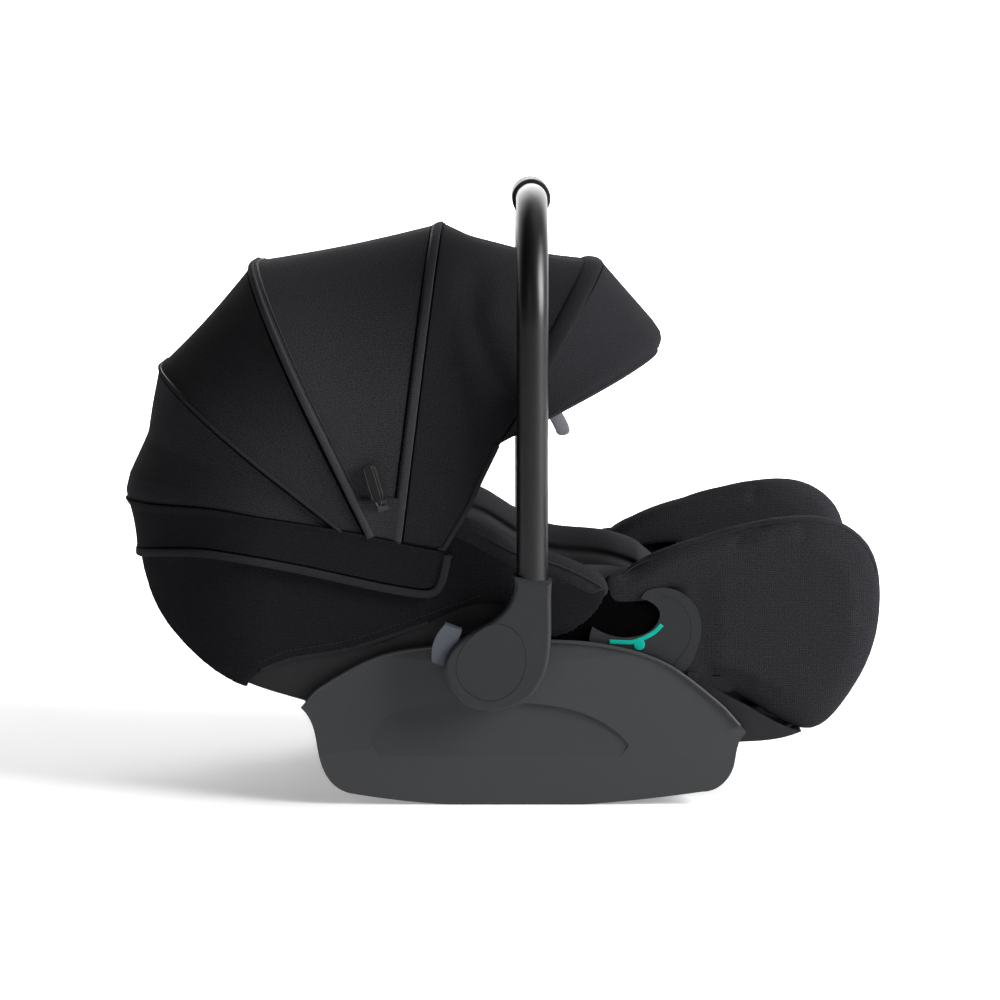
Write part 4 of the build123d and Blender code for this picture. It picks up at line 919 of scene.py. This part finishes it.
COVER_EDGE = [(-218, 124), (-191, 134), (-136, 144), (-73, 165), (-20, 184)]
RAY_START_Y = -400.0
THREAD_RISE = 8.0
edge_starts = side_line(COVER_EDGE, 90, RAY_START_Y)
edge_points, edge_normals = cast_on(cover, edge_starts, (0, 1, 0))
thread_points, thread_normals = cast_on(cover, edge_starts + [0, 0, THREAD_RISE], (0, 1, 0))
for sign, word in SIDES:
    mirror = np.array([1, -sign, 1])
    lifted = thread_points * mirror + thread_normals * mirror * 0.3
    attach(stitches("cover_stitches_" + word, lifted, thread_normals * mirror, THREAD), "seat")
    facing = edge_normals * mirror
    bound = sweep("cover_edge_" + word, edge_points * mirror, facing, band(4.0, 2.4), TAPE_CLOTH)
    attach(bound, "seat")
print("cover stitching made")

# %% [markdown]
# ## The harness webbing
#
# Webbing is a flat woven band with lengthwise ribs and rounded selvedges. Rays shot down on the packed
# straps give the line that each one lies on, and a ribbed band is swept along it.


# %% Webbing
STRAP_THICK = 1.8
SHOULDER_WIDTH = 36.0
RAY_HEIGHT = 400.0
INSET = 0.3


def webbing(width, thick):
    """A flat profile: half thickness sqrt(1 - x^8) (0.86 + 0.14 cos 9 pi (x + 1)), x from 1 to -1."""
    x = np.linspace(1, -1, 73)
    half = thick / 2 * np.sqrt(1 - x**8) * (0.86 + 0.14 * np.cos(9 * math.pi * (x + 1)))
    top = np.stack([x * width / 2, half], -1)
    return np.vstack([top, top[-2:0:-1] * [1, -1]])


def strap(name, node_name, start, end, width):
    """Webbing along a packed strap, below the line where rays shot down between two (x, y) ends meet it."""
    t = np.linspace(0, 1, 160)[:, None]
    starts = np.array([*start, RAY_HEIGHT]) * (1 - t) + np.array([*end, RAY_HEIGHT]) * t
    top, _ = cast_on(nodes[node_name], starts, (0, 0, -1))
    line = evenly(top, 3.0) - [0, 0, STRAP_THICK / 2]
    piece = sweep(name, line, [0, 0, 1.0], webbing(width, STRAP_THICK), WEBBING)
    return dress(piece, "seat", None if name.endswith("_far") else node_name)


low, high = packed_box("shoulder_straps")
lane = high[1] - SHOULDER_WIDTH / 2
for sign, word in SIDES:
    start = (low[0] + INSET, sign * lane)
    end = (high[0] - INSET, sign * lane)
    strap("webbing_shoulder_straps_" + word, "shoulder_straps", start, end, SHOULDER_WIDTH)
low, high = packed_box("hip_straps")
middle = (low[0] + high[0]) / 2
for sign, word in SIDES:
    start = (middle, sign * (high[1] - INSET))
    strap("webbing_hip_straps_" + word, "hip_straps", start, (middle, sign), high[0] - low[0])
low, high = packed_box("crotch_strap")
strap("webbing_crotch_strap", "crotch_strap", (low[0] + INSET, 0), (high[0] - INSET, 0), high[1] - low[1])
print("harness webbing made")

# %% [markdown]
# ## The cloth between wing, rim and belt guide
#
# Where the side wings rise from the tub, the cover goes on behind the belt guide as a lining in near-black
# cloth, painted shade of the belt path; a narrow gusset joins the wing to the rim, and a strip is tucked from
# the wing to the tub's front edge. They are plain curved strips, the same on both sides. Along the liner's
# wall lies a stuffed side cushion, and on the near side the cover is drawn up over the rim in one soft fold.

# %% Gussets and linings
RIM_X = np.array([-345, -200, -100, -25, 20, 60, 100, 140, 175, 250, 345], float)
RIM_Z = np.array([250, 255, 257, 248, 226, 208, 199, 193, 188, 180, 172], float)
GUSSET_X = (128, 196)
GUSSET_Y = 160.0
GUSSET_BULGE = 3.5
GUSSET_TALL = 26.0
GUSSET_DROP = 6.0
BELT_X = (46, 206)
BELT_Y = 170.25
BELT_LOW = 118.0
BELT_DROP = 2.0
FOOT_LINE = [(262, 64.5), (279, 71.5), (295, 81), (311, 96.5), (327, 121.5), (336, 147)]
FOOT_Y = (127, 148)
across = np.linspace(0, 1, 9)[:, None]


def strip_grid(x, y, z):
    """A grid of points from coordinates that broadcast against each other."""
    return np.stack(np.broadcast_arrays(x, y, z), -1)


def gusset(sign, word):
    """A strip from the liner's rim up into the wing, bulging outwards by a sine."""
    x = np.linspace(*GUSSET_X, 40)[None]
    z = np.interp(x, RIM_X, RIM_Z) - GUSSET_DROP + across * GUSSET_TALL
    y = sign * (GUSSET_Y + GUSSET_BULGE * np.sin(math.pi * across))
    return thicken(grid_object("wing_gusset_" + word, strip_grid(x, y, z), COVER_CLOTH), 6.0, 0.0)


def belt_lining(sign, word):
    """The lining of the belt path, a flat strip just outside the tub's side; its near-black cloth is painted
    shade.
    """
    x = np.linspace(*BELT_X, 50)[None]
    z = BELT_LOW + across * (np.interp(x, RIM_X, RIM_Z) - BELT_DROP - BELT_LOW)
    points = strip_grid(x, sign * BELT_Y, z)
    piece = thicken(grid_object("belt_lining_" + word, points, PAINTED_SHADE_CLOTH, turn=sign > 0), 1.0)
    return piece


def foot_lining(sign, word):
    """A strip of the cover, tucked from the wing's lower edge to the tub's front curve."""
    line = smooth_line(FOOT_LINE, 60)
    y = sign * np.linspace(*FOOT_Y, 7)[:, None]
    points = strip_grid(line[None, :, 0], y, line[None, :, 1])
    piece = thicken(grid_object("foot_lining_" + word, points, COVER_CLOTH, turn=sign < 0), 1.5)
    return piece


for make in (belt_lining, foot_lining):
    for sign, word in SIDES:
        dress(make(sign, word), "seat")
for sign, word in SIDES:
    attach(gusset(sign, word), "seat")
print("gussets and linings made")

# %% Side cushions
CUSHION_TOP = [(-122, 246), (-90, 259), (-58, 262), (-20, 256), (17, 234), (49, 219), (100, 215), (130, 207),
               (144, 197), (158, 184), (166, 176)]
CUSHION_LINE = np.array([(-122, 150), (50, 150), (100, 133), (142, 128), (166, 142)], float)
CUSHION_DEEP = np.array([(70, 46), (162, 17)], float)
CUSHION_HALF = 11.0
SEAM_DROP = 24.0
SEAM_PULL = 0.32
SEAM_WIDE = 3.6


def side_cushion(sign, word):
    """The stuffed cushion on the liner's side wall. Its top follows the rim, and its end turns into the wing.

    Its sections are upright ovals, drawn in at a seam: y = a cos t (1 - pull exp(-((h - seam) / wide)^2)),
    h = b sin t, where b shrinks towards the feet. Both are scaled to nothing at the ends.
    """
    top = smooth_line(CUSHION_TOP, 150)
    line = running_mean(np.interp(top[:, 0], *CUSHION_LINE.T), 9, "edge")
    deep = np.interp(top[:, 0], *CUSHION_DEEP.T)[:, None]
    t = np.linspace(0, 2 * math.pi, 120, endpoint=False)[None]
    height = deep * np.sin(t)
    seam = np.exp(-(((height - deep + SEAM_DROP) / SEAM_WIDE) ** 2))
    half = CUSHION_HALF * np.cos(t) * (1 - SEAM_PULL * seam)
    size = round_ends(len(top), 0.1)[:, None]
    points = strip_grid(top[:, :1], sign * line[:, None] - half * size, top[:, 1:] + (height - deep) * size)
    tips = [np.broadcast_to(row.mean(0), row.shape)[None] for row in (points[0], points[-1])]
    return grid_object("side_cushion_" + word, np.concatenate([tips[0], points, tips[1]]), LINER_CLOTH,
                       wrap=True, turn=True)


for sign, word in SIDES:
    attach(side_cushion(sign, word), "seat")
print("side cushions made")

# %% The cover's fold over the near rim, an upright oval roll with piping below it
FOLD_TOP = [(-52, 274), (-39, 267), (-9, 253), (15, 240), (48, 231), (72, 221), (97, 207)]
FOLD_HALF = (5.2, 13.0)
FOLD_Y = -170.2
PIPING = [(-56, 262), (-41, 257), (-13, 246), (14, 232), (48, 222), (72, 212), (92, 201)]
PIPING_Y = -175.0
fold_path = side_line(FOLD_TOP, 120, FOLD_Y) - [0, 0, FOLD_HALF[1]]
fold = sweep("cover_fold_near", fold_path, [0, 0, 1.0], circle(1.0, 24) * FOLD_HALF, COVER_CLOTH, taper=0.12)
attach(fold, "seat")
piping_path = side_line(PIPING, 100, PIPING_Y)
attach(sweep("cover_piping_near", piping_path, [0, -1.0, 0], circle(1.3), TAPE_CLOTH), "seat")
print("fold and piping made")

# %% [markdown]
# ## Small hard trim
#
# The base's rim ends in a rounded bead that catches the light, the belt guide has a thin strip of darker
# plastic inside its outer edge as painted shade of a shallow groove, and the belt's mark is a printed stripe
# with a round field.

# %% Beads, painted groove shade and the belt mark
BASE_RIM = [(-176, 96), (-160, 111), (-108, 138), (-40, 149), (45, 152), (100, 147), (150, 131), (196, 97),
            (218, 74)]
BEAD_Y = 184.3
BEAD_RISE = 0.2
GUIDE_EDGE = [(158, 129), (171, 147), (174, 165), (169, 180), (158, 190), (146, 194)]
GUIDE_FACE = 175.0
MARK_LINE = [(99, 150.5), (112, 150), (122, 150.5), (133, 155), (141, 160), (147, 166)]
MARK_Y = 175.2
FIELD_AT = (126.5, 148.0)
FIELD_Y = 175.25
FIELD_R = 5.2
FIELD_ROWS = 24


def round_field(sign, word):
    """The mark's round field: a strip of half width 1, widened to R sqrt(1 - (h / (R + 0.1))^2)."""
    x, z = FIELD_AT
    h = np.linspace(-FIELD_R, FIELD_R, FIELD_ROWS)
    path = np.stack([np.full(FIELD_ROWS, x), np.full(FIELD_ROWS, sign * FIELD_Y), z + h], -1)
    piece = sweep("belt_mark_field_" + word, path, [0, sign, 0.0], band(2.0, 0.7), MARK_PLASTIC)
    wide = np.r_[0.02, np.sqrt(np.maximum(0.01, 1 - (h / (FIELD_R + 0.1)) ** 2)), 0.02] * FIELD_R
    points = coordinates(piece).reshape(FIELD_ROWS + 2, -1, 3)
    points[..., 0] = x + (points[..., 0] - x) * wide[:, None]
    set_coordinates(piece, points.reshape(-1, 3))
    return piece


for sign, word in SIDES:
    outward = [0, float(sign), 0]
    bead = side_line(BASE_RIM, 140, sign * BEAD_Y) + [0, 0, BEAD_RISE]
    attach(sweep("base_rim_bead_" + word, bead, outward, circle(1.7, 12), BASE_PLASTIC), "base")
    # The groove is a thin strip of darker plastic: painted shade inside the guide's outer edge.
    groove = side_line(GUIDE_EDGE, 60, sign * GUIDE_FACE)
    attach(sweep("guide_groove_painted_shade_" + word, groove, outward, band(0.9, 0.4), TUB_PLASTIC_AND_SHADE), "seat")
    mark = side_line(MARK_LINE, 50, sign * MARK_Y)
    stripe = sweep("belt_mark_" + word, mark, outward, band(4.0, 0.7), MARK_PLASTIC)
    dress(stripe, "seat", "belt_marks" if sign < 0 else None)
    dress(round_field(sign, word), "seat")
print("beads, painted groove shade and belt marks made")

# %% [markdown]
# ## The loop on the visor
#
# A short doubled loop of grey tape is sewn under the visor's edge on the near side.

# %% Tape loop
LOOP_LINE = [(45, 366), (51, 356), (56, 346), (57, 339)]
LOOP_Y = -178.4
loop_path = side_line(LOOP_LINE, 30, LOOP_Y)
tape_loop = sweep("visor_tape_loop", loop_path, [0, -1.0, 0], band(13.0, 2.4), TAB_CLOTH, taper=0.22)
dress(tape_loop, "canopy_4", "canopy_tab")
print("tape loop made")

# %% [markdown]
# ## The stage
#
# A white seamless sheet, a large key light to the right, and soft light all round that grows from left
# to right, as in a product photo. The camera stands 3.2 m in front and looks down by 6.7 degrees.

# %% The sheet
SHEET_REACH = 30000
BEND_Y = 2200
BEND_R = 1500
SHEET_TOP = 6000
bend = np.linspace(0.1, 1.5, 16)
sheet_x = np.linspace(-SHEET_REACH, SHEET_REACH, 9)[None, :]
floor_y = np.linspace(-SHEET_REACH, BEND_Y, 12)
sheet_y = np.r_[floor_y, BEND_Y + BEND_R * np.sin(bend), BEND_Y + BEND_R][:, None]
sheet_z = np.r_[0 * floor_y, BEND_R * (1 - np.cos(bend)), SHEET_TOP][:, None]
PAPER, paper_shader = base_material("Seamless paper white", 0.9)
paper_shader.inputs["Base Color"].default_value = linear("f4f4f4")
paper_shader.inputs["Emission Color"].default_value = (1, 1, 1, 1)
paper_shader.inputs["Emission Strength"].default_value = 0.3
backdrop = grid_object("backdrop", strip_grid(sheet_x, sheet_y, sheet_z), PAPER)


# %% Lights
def area_light(name, place, aim, size, power):
    """A square softbox at place, turned towards aim, both in metres."""
    lamp = bpy.data.lights.new(name, "AREA")
    lamp.size = size
    lamp.energy = power
    made = bpy.data.objects.new(name, lamp)
    scene.collection.objects.link(made)
    made.location = place
    toward = np.asarray(aim, float) - np.asarray(place, float)
    flat = math.hypot(toward[0], toward[1])
    made.rotation_euler = (math.atan2(flat, -toward[2]), 0, math.atan2(toward[1], toward[0]) - math.pi / 2)
    return made


area_light("key", (3.0, -1.3, 1.75), (0, 0, 0.25), 2.0, 260)
area_light("fill", (-1.2, -3.4, 1.6), (0, 0, 0.25), 2.0, 5)
area_light("top", (0.6, 0.5, 2.7), (0, 0, 0.2), 1.6, 5)
area_light("backdrop_wash", (0, 2.0, 2.8), (0, 4.0, 1.6), 3.0, 260)
world = bpy.data.worlds.new("Studio")
scene.world = world
world.use_nodes = True
direction = add_node(world, "ShaderNodeTexCoord", {}).outputs["Generated"]
sideways = add_node(world, "ShaderNodeSeparateXYZ", {"Vector": direction}).outputs["X"]
left_to_right = {"Value": sideways, "From Min": -1.0, "From Max": 1.0, "To Min": 0.16, "To Max": 0.6}
glow = add_node(world, "ShaderNodeMapRange", left_to_right)
world.node_tree.links.new(glow.outputs["Result"], world.node_tree.nodes["Background"].inputs["Strength"])
scene.view_settings.view_transform = "Standard"

# %% Camera
CAMERA_AT = (0, -3.2, 0.635)
LOOK_DOWN = 6.69
lens = bpy.data.cameras.new("camera")
lens.lens = 121.25
lens.sensor_width = 36
camera = bpy.data.objects.new("camera", lens)
scene.collection.objects.link(camera)
camera.location = CAMERA_AT
camera.rotation_euler = (math.radians(90 - LOOK_DOWN), 0, 0)
scene.camera = camera
